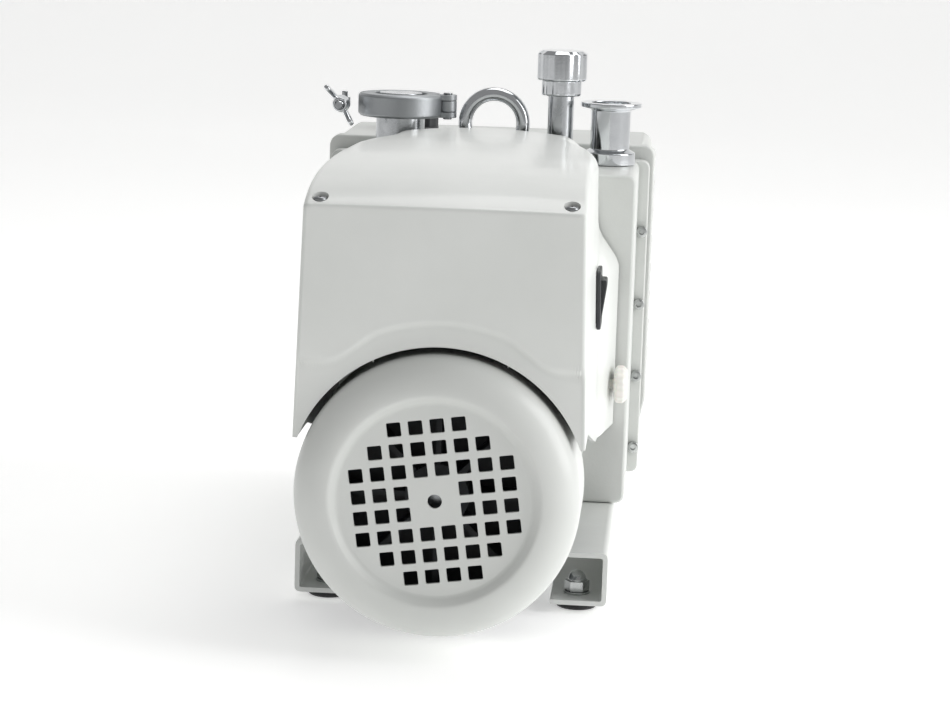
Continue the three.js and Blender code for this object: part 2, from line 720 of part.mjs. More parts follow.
function motorCover() {
  const outer = join(coverBody(0, coverHoodEnd), coverFlares(0, coverRearFoot, coverSideEnd));
  const inner = join(
    coverBody(coverWall, coverHoodEnd + cutOver),
    coverFlares(coverWall, coverRearFoot - cutOver, coverSideEnd + 0.5),
  );
  const bosses = [-screwX, screwX].map((x) => rodZ(6, coverFrontTop - 12, coverFrontTop, 12)
    .translate([x, screwY, 0]));
  const arch = rodY(coverArchRadius, coverFront - cutOver, coverFront + coverWall + 0.2, 56);
  let cover = join(cut(outer, inner), ...bosses);
  cover = cut(cover, arch, creaseCutter());
  for (const x of [-screwX, screwX]) {
    const hole = rodZ(2 + touchGap, coverFrontTop - 20, coverTop, 8).translate([x, screwY, 0]);
    const seat = rodZ(4 + touchGap, screwSeat, coverTop, 12).translate([x, screwY, 0]);
    cover = cut(cover, hole, seat);
  }
  const sideHole = alongX(rectangle(switchY - 12, switchZ - 15, switchY + 12, switchZ + 15),
    coverHalfWidth(switchZ) - sideCut, coverHalfWidth(switchZ) + sideCut);
  const inletHole = alongX(rectangle(inletY - 15, inletZ - 11.5, inletY + 15, inletZ + 11.5),
    -coverHalfWidth(inletZ) - sideCut, sideCut - coverHalfWidth(inletZ));
  const knobHoles = turnedX(rodProfile(3 + runningGap, -knobReach - sideCut, knobReach + sideCut), 12)
    .translate([0, knobY, knobZ]);
  return cut(cover, sideHole, inletHole, knobHoles);
}

function coverScrew() {
  return join(rodZ(4, touchGap, 2.6, 12), rodZ(2, -10, 1, 8));
}

// A quarter-turn knob that holds the cover's side; its axis is +X and it sits on x = 0.
function coverKnob() {
  return turnedX([
    [0, -8], [3, -8], [3, 0.5], [knobRadius - 3, 0.5], [knobRadius, 2.5], [knobRadius, 6.5],
    [knobRadius - 2.5, 9], [0, 9.5],
  ], 16);
}

const cover = unit();
place('motor_cover', motorCover(), whitePaint, cover);
for (const [name, x] of [['cover_screw_left', -screwX], ['cover_screw_right', screwX]]) {
  place(name, coverScrew(), steel, unit(x, screwY, screwSeat, cover));
}
place('cover_knob_right', coverKnob(), whiteNylon, unit(knobReach, knobY, knobZ, cover));
const leftKnob = unit(-knobReach, knobY, knobZ, cover);
leftKnob.rotation.z = Math.PI;
place('cover_knob_left', coverKnob(), whiteNylon, leftKnob);

// Power switch: a bezel with a rocker. x = 0 is the cover's face.
const rockerHalfWidth = 9;
const rockerReach = 9;

function switchBezel() {
  const flange = rectangle(-switchWidth / 2, -switchHeight / 2, switchWidth / 2, switchHeight / 2, 3);
  const body = rectangle(-11.5, -14.5, 11.5, 14.5);
  const bezel = join(alongX(flange, touchGap, 3, 4), alongX(body, -18, touchGap + 0.1));
  const [w, h] = [rockerHalfWidth + 0.5, 13.6];
  return cut(bezel, alongX(rectangle(-w, -h, w, h), -12, 4));
}

function switchRocker() {
  const [front, edge] = [rockerReach, 12.6];
  const outline = polygon([[-8, -4], [1.2, -edge], [3.2, -edge], [front - 2.5, edge - 5],
    [front - 2.5, edge - 0.8], [1, edge - 0.6], [-8, 4]]);
  return toSolid(extrude(outline, 2 * rockerHalfWidth, 1).rotateX(Math.PI / 2)
    .translate(0, rockerHalfWidth, 0));
}

// Appliance inlet: a flanged socket with three blades inside. It faces +X in its own frame.
function powerInlet() {
  const flange = rectangle(-24, -13.5, 24, 13.5, 4);
  const body = rectangle(-14.5, -11, 14.5, 11, 2);
  const mouth = rectangle(-12.2, -8.4, 12.2, 8.4, 3);
  const shell = join(alongX(flange, touchGap, 3.2, 3), alongX(body, -22, touchGap + 0.1, 2));
  const socket = cut(shell, alongX(mouth, -17, 4, 3));
  const blades = [[-7, -1.5], [7, -1.5], [0, 2.5]].map(([y, z]) => box([-18, -3], [y - 1, y + 1],
    [z - 2, z + 2]));
  return join(socket, ...blades);
}

const controls = unit(coverHalfWidth(switchZ), switchY, switchZ, cover);
controls.rotation.y = -Math.atan(coverSlope);
const switchLift = touchGap;
place('switch_bezel', switchBezel().translate([switchLift, 0, 0]), blackPlastic, controls);
place('switch_rocker', switchRocker().translate([switchLift, 0, 0]), blackPlastic, controls);

const inlet = unit(-coverHalfWidth(inletZ), inletY, inletZ, cover);
inlet.rotation.set(0, Math.atan(coverSlope), Math.PI, 'YZX');
place('power_inlet', powerInlet(), blackPlastic, inlet);

// ---- Pump block: a deep casting, open at the rear, with the ports on top ----

function pumpBlock() {
  const body = alongY(rectangle(-blockHalfWidth, blockBottom, blockHalfWidth, blockTop, 6),
    blockFront, blockRear, 3);
  const flange = alongY(rectangle(-blockFlangeHalfWidth, blockBottom, blockFlangeHalfWidth, blockTop, 6),
    blockRear - blockFlange, blockRear, 3);
  const cavity = box([-blockHalfWidth + blockWall, blockHalfWidth - blockWall],
    [blockFront + blockFrontWall, blockRear + cutOver], [blockBottom + blockWall, blockTop - blockWall]);
  const duct = box([intakeX - 15, intakeX + 15], [portRow - 15, portRow + 15],
    [statorTop + touchGap, blockTop - blockWall + cutOver]);
  const through = [blockTop - 2 * blockWall, blockTop + cutOver];
  return cut(
    join(cut(join(body, flange), cavity), duct),
    rodY(journalRadius + runningGap, blockFront - cutOver, blockFront + blockFrontWall + cutOver, 24),
    rodY(20 + touchGap, blockFront - cutOver, blockFront + 9, 24),
    rodZ(intakeBore, statorTop, blockTop + cutOver, 20).translate([intakeX, portRow, 0]),
    rodZ(exhaustBore, ...through, 20).translate([exhaustX - 3, portRow, 0]),
    rodZ(5, ...through, 10).translate([ballastX, portRow, 0]),
    rodZ(5.5 + touchGap, ...through, 12).translate([eyeX, portRow, 0]),
  );
}

function shaftSeal() {
  const lip = journalRadius + runningGap;
  const [start, end] = [blockFront + 1, blockFront + 9 - touchGap];
  return turnedY([[lip, start], [20, start], [20, end], [17, end], [17, start + 3], [lip, start + 3]]);
}

// ---- Pump stages: two eccentric bores, one shaft with two slotted rotors, two vanes in each ----

function stageOutline(boreRadius, boreDrop) {
  const [x, corner] = [statorHalfWidth, 8];
  const outline = polygon([
    [-x + corner, statorBottom], [x - corner, statorBottom], [x, statorBottom + corner],
    [x, statorTop - corner], [x - corner, statorTop], [-x + corner, statorTop],
    [-x, statorTop - corner], [-x, statorBottom + corner],
  ]);
  outline.holes.push(new THREE.Path().absarc(0, -boreDrop, boreRadius, 0, 2 * Math.PI, true));
  return outline;
}

function highStageStator() {
  const ring = alongY(stageOutline(stageBoreRadius, rotorOffset), highStageStart, highStageEnd, 16);
  const well = rodZ(9, 0, statorTop + cutOver, 16).translate([intakeX, portRow, 0]);
  const passage = box([intakeX, -stageBoreRadius + 4], [portRow - 8, portRow + 8], [-6, 6]);
  const outlet = rodZ(4, 10, statorTop + cutOver, 12).translate([22, portRow, 0]);
  return cut(ring, well, passage, outlet);
}

function lowStageStator() {
  const ring = alongY(stageOutline(stageBoreRadius, rotorOffset), lowStageStart, lowStageEnd, 16);
  const middle = (lowStageStart + lowStageEnd) / 2;
  return cut(ring, rodZ(4, 10, statorTop + cutOver, 12).translate([22, middle, 0]));
}

function pumpRotor() {
  const shaft = turnedY([
    [0, dogsEnd + 2], [journalRadius - 2, dogsEnd + 2], [journalRadius - 2, couplingEnd + 0.5],
    [journalRadius, couplingEnd + 0.5], [journalRadius, highStageStart + touchGap],
    [rotorRadius, highStageStart + touchGap], [rotorRadius, highStageEnd - touchGap],
    [journalRadius, highStageEnd - touchGap], [journalRadius, lowStageStart + touchGap],
    [rotorRadius, lowStageStart + touchGap], [rotorRadius, lowStageEnd - touchGap],
    [journalRadius, lowStageEnd - touchGap], [journalRadius, lowStageEnd + stagePlate],
    [0, lowStageEnd + stagePlate],
  ], 24);
  const slotReach = rotorRadius + cutOver;
  const half = vaneThickness / 2 + runningGap;
  const slots = [[highStageStart, highStageEnd], [lowStageStart, lowStageEnd]].map(([start, end]) => box(
    [-slotReach, slotReach], [start + touchGap, end - touchGap], [-half, half]));
  return cut(shaft, ...slots);
}

function vane(start, end) {
  return box([1.5, rotorRadius - 0.2], [start + 2 * touchGap, end - 2 * touchGap],
    [-vaneThickness / 2, vaneThickness / 2]);
}

const plateOutline = () => stageOutline(journalRadius + runningGap, 0);
const stages = unit();
place('pump_block', pumpBlock(), castPaint, stages);
place('shaft_seal', shaftSeal(), sealRubber, stages);
place('high_vacuum_stator', highStageStator(), castIron, stages);
place('middle_plate', alongY(plateOutline(), highStageEnd + touchGap, middlePlateEnd, 10), castIron, stages);
place('low_vacuum_stator', lowStageStator(), castIron, stages);
place('end_plate', alongY(plateOutline(), lowStageEnd + touchGap, lowStageEnd + stagePlate, 10),
  castIron, stages);
place('pump_rotor', pumpRotor(), steel, stages);
for (const [stage, start, end] of [['high', highStageStart, highStageEnd],
  ['low', lowStageStart, lowStageEnd]]) {
  place(`${stage}_vane_a`, vane(start, end), vaneComposite, stages);
  place(`${stage}_vane_b`, vane(start, end).mirror([1, 0, 0]), vaneComposite, stages);
}
const valveY = (lowStageStart + lowStageEnd) / 2;
place('exhaust_valve_plate', alongZ(rectangle(-9, -11, 9, 11, 3), touchGap, 1.5, 3), steel,
  unit(22, valveY, statorTop, stages));

// ---- Oil case: a ribbed casting, bolted to the block over a gasket ----

const caseBottom = blockBottom + 1;
const caseBevel = 9; // the sides draw in below the shaft axis

function caseOutline(sideX, top, bottom, ribbed) {
  const side = [[sideX - caseBevel - 6, bottom], [sideX - caseBevel, bottom + 6], [sideX, -8]];
  if (ribbed) {
    for (let rib = caseRibs - 1; rib >= 0; rib -= 1) {
      const z = top - 15 - rib * caseRibPitch;
      side.push([sideX, z - 5], [sideX + caseRibDepth, z - 3], [sideX + caseRibDepth, z + 3], [sideX, z + 5]);
    }
  }
  side.push([sideX, top - 6], [sideX - 2, top - 2], [sideX - 6, top]);
  const mirrored = [...side].reverse().map(([x, z]) => [-x, z]);
  return polygon([...side, ...mirrored]);
}

function oilCase() {
  const wallX = caseHalfWidth - caseRibDepth;
  const shell = alongY(caseOutline(wallX, caseTop, caseBottom, true), caseFront, caseRear);
  const flange = alongY(caseOutline(caseHalfWidth, caseTop, caseBottom, false), caseFront, caseFront + 12);
  const mouth = box([-blockHalfWidth + blockWall, blockHalfWidth - blockWall],
    [caseFront - cutOver, caseFront + 13], [blockBottom + blockWall + 1, blockTop - blockWall]);
  const inside = alongY(caseOutline(wallX - caseWall, caseTop - caseWall, caseBottom + caseWall, false),
    caseFront + 12, caseRear - caseWall);
  const window = rodY(sightRadius - 7, caseRear - 2 * caseWall, caseRear + cutOver, 20);
  const drain = rodY(7 + touchGap, caseRear - 2 * caseWall, caseRear + cutOver, 16);
  const filler = rodZ(12 + runningGap, caseTop - 2 * caseWall, caseTop + cutOver, 20);
  return cut(join(shell, flange), mouth, inside, window.translate([0, 0, sightZ]),
    drain.translate([0, 0, drainZ]), filler.translate([fillX, fillY, 0]));
}

function caseGasket() {
  const outline = rectangle(-blockHalfWidth - 4, blockBottom + 2, blockHalfWidth + 4, blockTop - 1, 6);
  outline.holes.push(rectangle(-blockHalfWidth + blockWall, blockBottom + blockWall + 1,
    blockHalfWidth - blockWall, blockTop - blockWall));
  return alongY(outline, blockRear + touchGap, blockRear + touchGap + gasketThickness, 3);
}

function sightBezel() {
  const inner = sightRadius - 6;
  return turnedY([[inner - 2, touchGap], [sightRadius, touchGap], [sightRadius, 5], [sightRadius - 3, 8],
    [inner - 1, 8], [inner - 2, 7]]);
}

function sightLens() {
  return turnedY([[0, 1], [sightRadius - 8 - touchGap, 1], [sightRadius - 8 - touchGap, 4.5], [0, 6]], 24);
}

function drainPlug() {
  const head = new THREE.CylinderGeometry(11, 11, drainHead - 4, 6).translate(0, 4 + (drainHead - 4) / 2, 0);
  const washer = turnedY(rodProfile(13, touchGap, 4.2), 16);
  return join(toSolid(head), washer, rodY(7, -caseWall - 4, 1, 12));
}

// The filler plug: a scalloped knob on a short threaded spigot.
function fillPlug() {
  const knob = turnedZ([[0, touchGap], [fillRadius - 1, touchGap], [fillRadius, 2],
    [fillRadius, fillHeight - 3], [fillRadius - 2.5, fillHeight], [0, fillHeight]]);
  const scallops = [0, 1, 2, 3, 4, 5].map((i) => {
    const angle = (i / 6) * 2 * Math.PI;
    const reach = fillRadius + 4;
    const [x, y] = [reach * Math.cos(angle), reach * Math.sin(angle)];
    return rodZ(6, 3, fillHeight + cutOver, 12).translate([x, y, 0]);
  });
  return join(cut(knob, ...scallops), rodZ(12, -14, 1, 16));
}

place('case_gasket', caseGasket(), gasketSheet, stages);
place('oil_case', oilCase(), castPaint, stages);
const sight = unit(0, caseRear, sightZ, stages);
place('sight_glass_bezel', sightBezel(), chrome, sight);
place('sight_glass_lens', sightLens(), sightGlass, sight);
place('oil_drain_plug', drainPlug(), steel, unit(0, caseRear, drainZ, stages));
place('oil_fill_plug', fillPlug(), blackPlastic, unit(fillX, fillY, caseTop, stages));

// ---- KF25 ports. Each stands on z = 0, the block's top ----

// A flange's rim slopes back at 15 degrees, so that the clamp draws the joint together.
const rimSlope = Math.tan(THREE.MathUtils.degToRad(15));

function flangedPort(height, neck, bore, footRadiusOuter, footDepth) {
  const rimBase = height - flangeRim;
  return turnedZ([
    [bore, touchGap], [footRadiusOuter, touchGap], [footRadiusOuter, footDepth], [neck, footDepth + 2],
    [neck, rimBase - (flangeRadius - neck) * rimSlope], [flangeRadius, rimBase], [flangeRadius, height],
    [flangeSeatRadius, height], [flangeSeatRadius, height - flangeSeatDepth],
    [bore, height - flangeSeatDepth],
  ]);
}

function centringRing() {
  const inner = 11;
  const sleeve = flangeSeatRadius - touchGap;
  const lip = flangeSpacing / 2 - touchGap;
  const reach = lip + flangeSeatDepth - 0.5;
  return turnedZ([
    [inner, -reach], [sleeve, -reach], [sleeve, -lip], [flangeRadius - 2.5, -lip], [flangeRadius - 1.5, 0],
    [flangeRadius - 2.5, lip], [sleeve, lip], [sleeve, reach], [inner, reach],
  ], 20);
}

function blankFlange() {
  const rimTop = flangeSpacing / 2 + flangeRim;
  const hubRadius = 14;
  return turnedZ([
    [0, flangeSpacing / 2 + flangeSeatDepth], [flangeSeatRadius, flangeSpacing / 2 + flangeSeatDepth],
    [flangeSeatRadius, flangeSpacing / 2], [flangeRadius, flangeSpacing / 2], [flangeRadius, rimTop],
    [hubRadius, rimTop + (flangeRadius - hubRadius) * rimSlope], [hubRadius, rimTop + 3], [0, rimTop + 3],
  ]);
}

const intake = unit(intakeX, portRow, blockTop, stages);
place('intake_port', flangedPort(intakeHeight, intakeNeck, intakeBore, 20, 6), stainless, intake);
const joint = unit(0, 0, flangeMiddle, intake);
place('centring_ring', centringRing(), stainless, joint);
place('intake_blank', blankFlange(), stainless, joint);

// ---- Intake clamp: two jaws round the flanges, a hinge pin, a swing bolt and a wing nut ----
// z = 0 is the plane between the flanges. The jaws part at y = 0.

const lugHalf = 3.5; // half height of the rear jaw's hinge lug
const slotHalf = clampBoltRadius + 0.6;
const lugDepth = 11;
const lugOuter = clampBoltReach + 5;

function clampRing() {
  const grip = flangeRadius - 2.5;
  const groove = flangeRadius + touchGap + 0.1;
  const rim = flangeSpacing / 2 + flangeRim + touchGap + 0.1;
  const lipStart = rim + (groove - grip) * rimSlope;
  return turnedZ([
    [grip, -clampHalfHeight], [clampRadius - 1.5, -clampHalfHeight], [clampRadius, -clampHalfHeight + 1.5],
    [clampRadius, clampHalfHeight - 1.5], [clampRadius - 1.5, clampHalfHeight], [grip, clampHalfHeight],
    [grip, lipStart], [groove, rim], [groove, -rim], [grip, -lipStart],
  ], 28);
}

function clampJaw(side) {
  const reach = clampRadius + 20;
  const ordered = (a, b) => (side < 0 ? [-b, -a] : [a, b]);
  const half = box([-reach, reach], ordered(touchGap, reach), [-20, 20]);
  const hingeRelief = rodZ(clampLugRadius + touchGap, -20, 20, 12).translate([clampHingeReach, 0, 0]);
  const lug = box([-lugOuter, -clampRadius + 5], ordered(1, lugDepth), [-clampHalfHeight, clampHalfHeight]);
  const hollow = rodZ(clampRadius - 2.2, -20, 20, 28);
  const slot = box([-lugOuter - cutOver, -clampBoltReach + 4], ordered(-1, lugDepth + 1),
    [-slotHalf, slotHalf]);
  const body = cut(join(cut(clampRing().intersect(half), hingeRelief), cut(lug, hollow)), slot);
  return { body, ordered };
}

const lugPin = (from, to) => rodZ(clampLugRadius, from, to, 12).translate([clampHingeReach, 0, 0]);
const pinHole = () => rodZ(clampPinRadius + touchGap, -20, 20, 8).translate([clampHingeReach, 0, 0]);
const boltPivot = [-clampBoltReach, 6];

function rearJaw() {
  const { body, ordered } = clampJaw(1);
  const bridge = box([clampRadius - 5, clampHingeReach], ordered(2.5, 6), [-lugHalf, lugHalf]);
  const pivotHole = rodZ(clampPinRadius + runningGap, -20, 20, 12).translate([...boltPivot, 0]);
  return cut(join(body, lugPin(-lugHalf, lugHalf), bridge), pinHole(), pivotHole);
}

function frontJaw() {
  const { body, ordered } = clampJaw(-1);
  const outer = [[lugHalf + touchGap, clampHalfHeight], [-clampHalfHeight, -lugHalf - touchGap]];
  const lugs = outer.flatMap(([from, to]) => [lugPin(from, to),
    box([clampRadius - 5, clampHingeReach], ordered(2.5, 6), [from, to])]);
  return cut(join(body, ...lugs), pinHole());
}

function hingePin() {
  const half = clampHalfHeight + 1.2;
  const head = clampPinRadius + 1;
  return turnedZ([[0, -half], [clampPinRadius, -half], [clampPinRadius, half - 1], [head, half - 1],
    [head, half + 0.5], [0, half + 0.5]], 8).translate([clampHingeReach, 0, touchGap]);
}

const nutStart = lugDepth + clampNutSlack + boltPivot[1]; // from the pivot, along the bolt
const nutLength = 9;

// The swing bolt in its own frame: the pivot is the origin and the thread runs along -y.
function swingBolt() {
  const eye = rodZ(3.8, -clampBoltRadius, clampBoltRadius, 12);
  const pivot = rodZ(clampPinRadius, -clampHalfHeight + 0.5, clampHalfHeight - 0.5, 8);
  return join(eye, pivot, rodY(clampBoltRadius, -nutStart - nutLength - 4, -3, 10));
}

function wingNut() {
  const hubOuter = 6;
  const bore = clampBoltRadius + runningGap;
  const hub = turnedY([[bore, -nutStart - nutLength], [hubOuter - 1.5, -nutStart - nutLength],
    [hubOuter, -nutStart], [bore, -nutStart]], 16);
  const tip = wingSpan / 2;
  const wing = polygon([[bore + 1.2, -nutStart - 1.5], [hubOuter + 1, -nutStart - 1.5],
    [tip - 1, -nutStart - nutLength - 1], [tip, -nutStart - nutLength - 5],
    [tip - 4, -nutStart - nutLength - 6], [hubOuter, -nutStart - nutLength + 1.5],
    [bore + 1.2, -nutStart - nutLength + 1.5]]);
  const right = alongZ(wing, -1.5, 1.5, 1);
  return join(hub, right, right.mirror([1, 0, 0]));
}

place('clamp_jaw_rear', rearJaw(), castAluminium, joint);
place('clamp_jaw_front', frontJaw(), castAluminium, joint);
place('clamp_hinge_pin', hingePin(), steel, joint);
const swing = unit(...boltPivot, 0, joint);
place('clamp_swing_bolt', swingBolt(), steel, swing);
const nut = place('clamp_wing_nut', wingNut(), chrome, swing);
nut.rotation.y = -wingTurn;

// ---- Exhaust, gas ballast valve and lifting eye ----

place('exhaust_port', flangedPort(exhaustHeight, exhaustNeck, exhaustBore, 17, 8), chrome,
  unit(exhaustX, portRow, blockTop, stages));

function ballastStem() {
  const top = ballastCollarBase + 5;
  return turnedZ([[0, touchGap], [12, touchGap], [12, 5], [ballastStemRadius, 7],
    [ballastStemRadius, top], [0, top]], 20);
}

function ballastCap() {
  const capBase = ballastCollarBase + ballastCollarHeight;
  const top = capBase + ballastCapHeight;
  const bore = ballastStemRadius + runningGap;
  return turnedZ([
    [0, ballastCollarBase + 6], [bore, ballastCollarBase + 6], [bore, ballastCollarBase],
    [ballastCollarRadius - 1, ballastCollarBase], [ballastCollarRadius, ballastCollarBase + 1],
    [ballastCollarRadius, capBase], [ballastCapRadius - 1, capBase], [ballastCapRadius, capBase + 1],
    [ballastCapRadius, top - 2], [ballastCapRadius - 3, top], [0, top],
  ]);
}

function liftingEyeRing() {
  const centre = eyeOuterRadius - eyeWireRadius;
  const ring = new THREE.TorusGeometry(centre, eyeWireRadius, 8, 24).rotateX(Math.PI / 2);
  return toSolid(ring.translate(0, 0, eyeHeight - eyeOuterRadius));
}

function liftingEye() {
  const foot = turnedZ([[0, touchGap], [13, touchGap], [13, 3], [9.5, 5], [8, 8], [0, 8]], 20);
  return join(foot, liftingEyeRing(), rodZ(5.5, -blockWall, 1, 12));
}

const ballast = unit(ballastX, portRow, blockTop, stages);
place('ballast_stem', ballastStem(), stainless, ballast);
place('ballast_cap', ballastCap(), chrome, ballast);
place('lifting_eye', liftingEye(), chrome, unit(eyeX, portRow, blockTop, stages));

export default pump;
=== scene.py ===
# %% [markdown]
# # A rotary vane vacuum pump
# The machine is an electric motor, a deep cast block and an oil case in one line on a folded base.
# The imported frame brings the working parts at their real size. This script gives them their looks:
# fine meshes for what the eye sees, and a finish for every piece.

# %% Frame
import math
import bmesh
import bpy
from mathutils import Matrix, Vector


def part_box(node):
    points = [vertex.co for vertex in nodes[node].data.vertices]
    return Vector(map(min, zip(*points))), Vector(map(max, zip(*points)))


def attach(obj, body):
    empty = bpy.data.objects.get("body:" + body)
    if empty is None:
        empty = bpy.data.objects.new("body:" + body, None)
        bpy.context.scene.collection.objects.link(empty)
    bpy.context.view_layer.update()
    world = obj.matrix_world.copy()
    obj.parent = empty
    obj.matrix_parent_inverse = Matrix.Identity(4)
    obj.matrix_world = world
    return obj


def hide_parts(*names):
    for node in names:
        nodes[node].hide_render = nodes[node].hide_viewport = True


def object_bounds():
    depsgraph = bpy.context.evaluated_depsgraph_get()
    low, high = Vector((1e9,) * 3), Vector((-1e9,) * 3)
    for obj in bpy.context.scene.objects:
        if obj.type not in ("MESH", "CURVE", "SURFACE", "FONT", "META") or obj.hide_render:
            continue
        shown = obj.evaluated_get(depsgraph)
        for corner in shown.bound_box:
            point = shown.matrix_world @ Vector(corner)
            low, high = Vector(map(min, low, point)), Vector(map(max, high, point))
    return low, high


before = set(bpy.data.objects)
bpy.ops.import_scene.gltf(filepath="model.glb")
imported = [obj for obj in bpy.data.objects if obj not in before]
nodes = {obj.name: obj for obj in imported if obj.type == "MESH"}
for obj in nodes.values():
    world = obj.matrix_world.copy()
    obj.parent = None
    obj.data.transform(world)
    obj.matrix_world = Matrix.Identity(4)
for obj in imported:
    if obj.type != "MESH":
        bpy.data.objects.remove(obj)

cad_low, cad_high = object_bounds()
print("nodes", len(nodes), "box", [round(v, 4) for v in (*cad_low, *cad_high)])

# %% [markdown]
# ## One set of coordinates
# A machinist measures a shaft-driven machine from its shaft. So all shapes here are in millimetres
# from the point where the shaft's axis meets the fan cowl's rim: X to the right, Y along the shaft to
# the rear, Z up. The frame gives that point, and one function turns such a point into metres.

# %% Drive coordinates
MM = 0.001
cowl_low, cowl_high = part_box("fan_cowl")
ORIGIN = Vector((0.0, cowl_low.y, (cowl_low.z + cowl_high.z) / 2))


def metres(point):
    return ORIGIN + Vector(point) * MM


def span(node):
    low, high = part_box(node)
    return (low - ORIGIN) / MM, (high - ORIGIN) / MM


def centre_of(node):
    low, high = span(node)
    return (low + high) / 2


FLOOR = -ORIGIN.z / MM
print("shaft height", round(-FLOOR, 1), "mm")

# %% [markdown]
# ## Meshes from outlines
# Nearly every piece of a machine is turned on a lathe or cut from a plate, so two makers are enough:
# `turned` spins a profile and `plate` pushes an outline through a depth. No real edge is perfectly
# sharp. Both makers round their corners in the outline itself, which keeps the mesh clean and catches
# a thin line of light, where a bevel modifier would stumble on the short edges of the arcs.

# %% Rounded outlines
def soften(points, radius, steps=4, closed=True):
    rounded = []
    count = len(points)
    for i, point in enumerate(points):
        here = Vector(point[:2])
        if not closed and i in (0, count - 1):
            rounded.append(tuple(here))
            continue
        before = Vector(points[i - 1][:2]) - here
        after = Vector(points[(i + 1) % count][:2]) - here
        reach = min(radius, 0.45 * before.length, 0.45 * after.length)
        if reach < 0.02 or abs(before.angle(after) - math.pi) < 0.05:
            rounded.append(tuple(here))
            continue
        start = here + before.normalized() * reach
        end = here + after.normalized() * reach
        for k in range(steps + 1):
            t = k / steps
            rounded.append(tuple(start.lerp(here, t).lerp(here.lerp(end, t), t)))
    return rounded


def rectangle(u0, v0, u1, v1):
    return [(u0, v0), (u1, v0), (u1, v1), (u0, v1)]


def circle(radius, u=0.0, v=0.0, count=48):
    turns = [2 * math.pi * i / count for i in range(count)]
    return [(u + radius * math.cos(a), v + radius * math.sin(a)) for a in turns]


# %% Turned shells
AXES = {"X": lambda r, s, h: (h, r, s), "Y": lambda r, s, h: (s, h, r), "Z": lambda r, s, h: (r, s, h)}


def turned(profile, axis="Z", at=(0, 0, 0), count=96, arc=None, flutes=0, depth=0.0):
    """A closed profile of (radius, height) points, spun about an axis through the point at."""
    start, end = arc or (0.0, 2 * math.pi)
    rings = count + 1 if arc else count
    vertices, faces, rows = [], [], []
    for radius, height in profile:
        if radius < 1e-6:
            rows.append([len(vertices)])
            vertices.append(AXES[axis](0.0, 0.0, height))
            continue
        rows.append(list(range(len(vertices), len(vertices) + rings)))
        for k in range(rings):
            a = start + (end - start) * k / count
            r = radius - depth * (0.5 + 0.5 * math.cos(flutes * a)) if flutes else radius
            vertices.append(AXES[axis](r * math.cos(a), r * math.sin(a), height))
    for i, row in enumerate(rows):
        follow = rows[(i + 1) % len(rows)]
        if len(row) == 1 and len(follow) == 1:
            continue
        for k in range(count):
            n = (k + 1) % rings
            quad = [row[k % len(row)], row[n % len(row)], follow[n % len(follow)], follow[k % len(follow)]]
            faces.append(list(dict.fromkeys(quad)))
    if arc:
        faces.append([row[0] for row in rows])
        faces.append([row[-1] for row in rows][::-1])
    moved = [tuple(Vector(v) + Vector(at)) for v in vertices]
    return moved, faces


# %% Plates
PLANES = {"X": lambda u, v, w: (w, u, v), "Y": lambda u, v, w: (u, w, v), "Z": lambda u, v, w: (u, v, w)}


def offset_outline(outline, distance):
    area = sum(a[0] * b[1] - b[0] * a[1] for a, b in zip(outline, outline[1:] + outline[:1]))
    side = 1 if area > 0 else -1
    moved = []
    for i, point in enumerate(outline):
        before = Vector(point) - Vector(outline[i - 1])
        after = Vector(outline[(i + 1) % len(outline)]) - Vector(point)
        normal_a = Vector((-before.y, before.x)).normalized() * side
        normal_b = Vector((-after.y, after.x)).normalized() * side
        middle = normal_a + normal_b
        scale = 2 / max(middle.length_squared, 0.8)
        moved.append(tuple(Vector(point) + middle * scale * distance))
    return moved


def plate(outline, axis, low, high, edge=0.6, steps=3):
    """An outline pushed along an axis, with both of its end edges rounded."""
    levels = []
    for k in range(steps + 1):
        a = math.pi / 2 * k / steps
        levels.append((edge * (1 - math.sin(a)), edge * (1 - math.cos(a))))
    rings = [(inset, low + rise) for inset, rise in levels]
    rings += [(inset, high - rise) for inset, rise in reversed(levels)]
    vertices, faces = [], []
    count = len(outline)
    for inset, place in rings:
        line = offset_outline(outline, inset) if inset > 1e-6 else outline
        vertices += [PLANES[axis](u, v, place) for u, v in line]
    for ring in range(len(rings) - 1):
        for i in range(count):
            n = (i + 1) % count
            faces.append([ring * count + i, ring * count + n, (ring + 1) * count + n, (ring + 1) * count + i])
    faces.append(list(range(count))[::-1])
    faces.append([(len(rings) - 1) * count + i for i in range(count)])
    return vertices, faces


def bar(radius, low, high):
    """The profile of a plain round bar."""
    return [(0, low), (radius, low), (radius, high), (0, high)]


def block(x, y, z, radius=1.0, axis="Y"):
    """A bar with rounded edges, given by its three ranges."""
    ranges = {"X": (y, z, x), "Y": (x, z, y), "Z": (x, y, z)}[axis]
    (u0, u1), (v0, v1), (w0, w1) = ranges
    return plate(soften(rectangle(u0, v0, u1, v1), radius), axis, w0, w1, edge=min(radius, 1.2))


def moved(shell, turn=0.0, about="Z", at=(0, 0, 0)):
    matrix = Matrix.Translation(Vector(at)) @ Matrix.Rotation(turn, 4, about)
    return [tuple(matrix @ Vector(v)) for v in shell[0]], shell[1]


# %% [markdown]
# ## From shells to pieces
# A piece may be made of several closed shells, as a casting is of walls and bosses. The helper merges
# them, turns the faces outwards, and shades them smooth except where two faces meet at a real edge.
# The weighted normals keep wide flat faces flat, with the soft light only in the rounded edges.

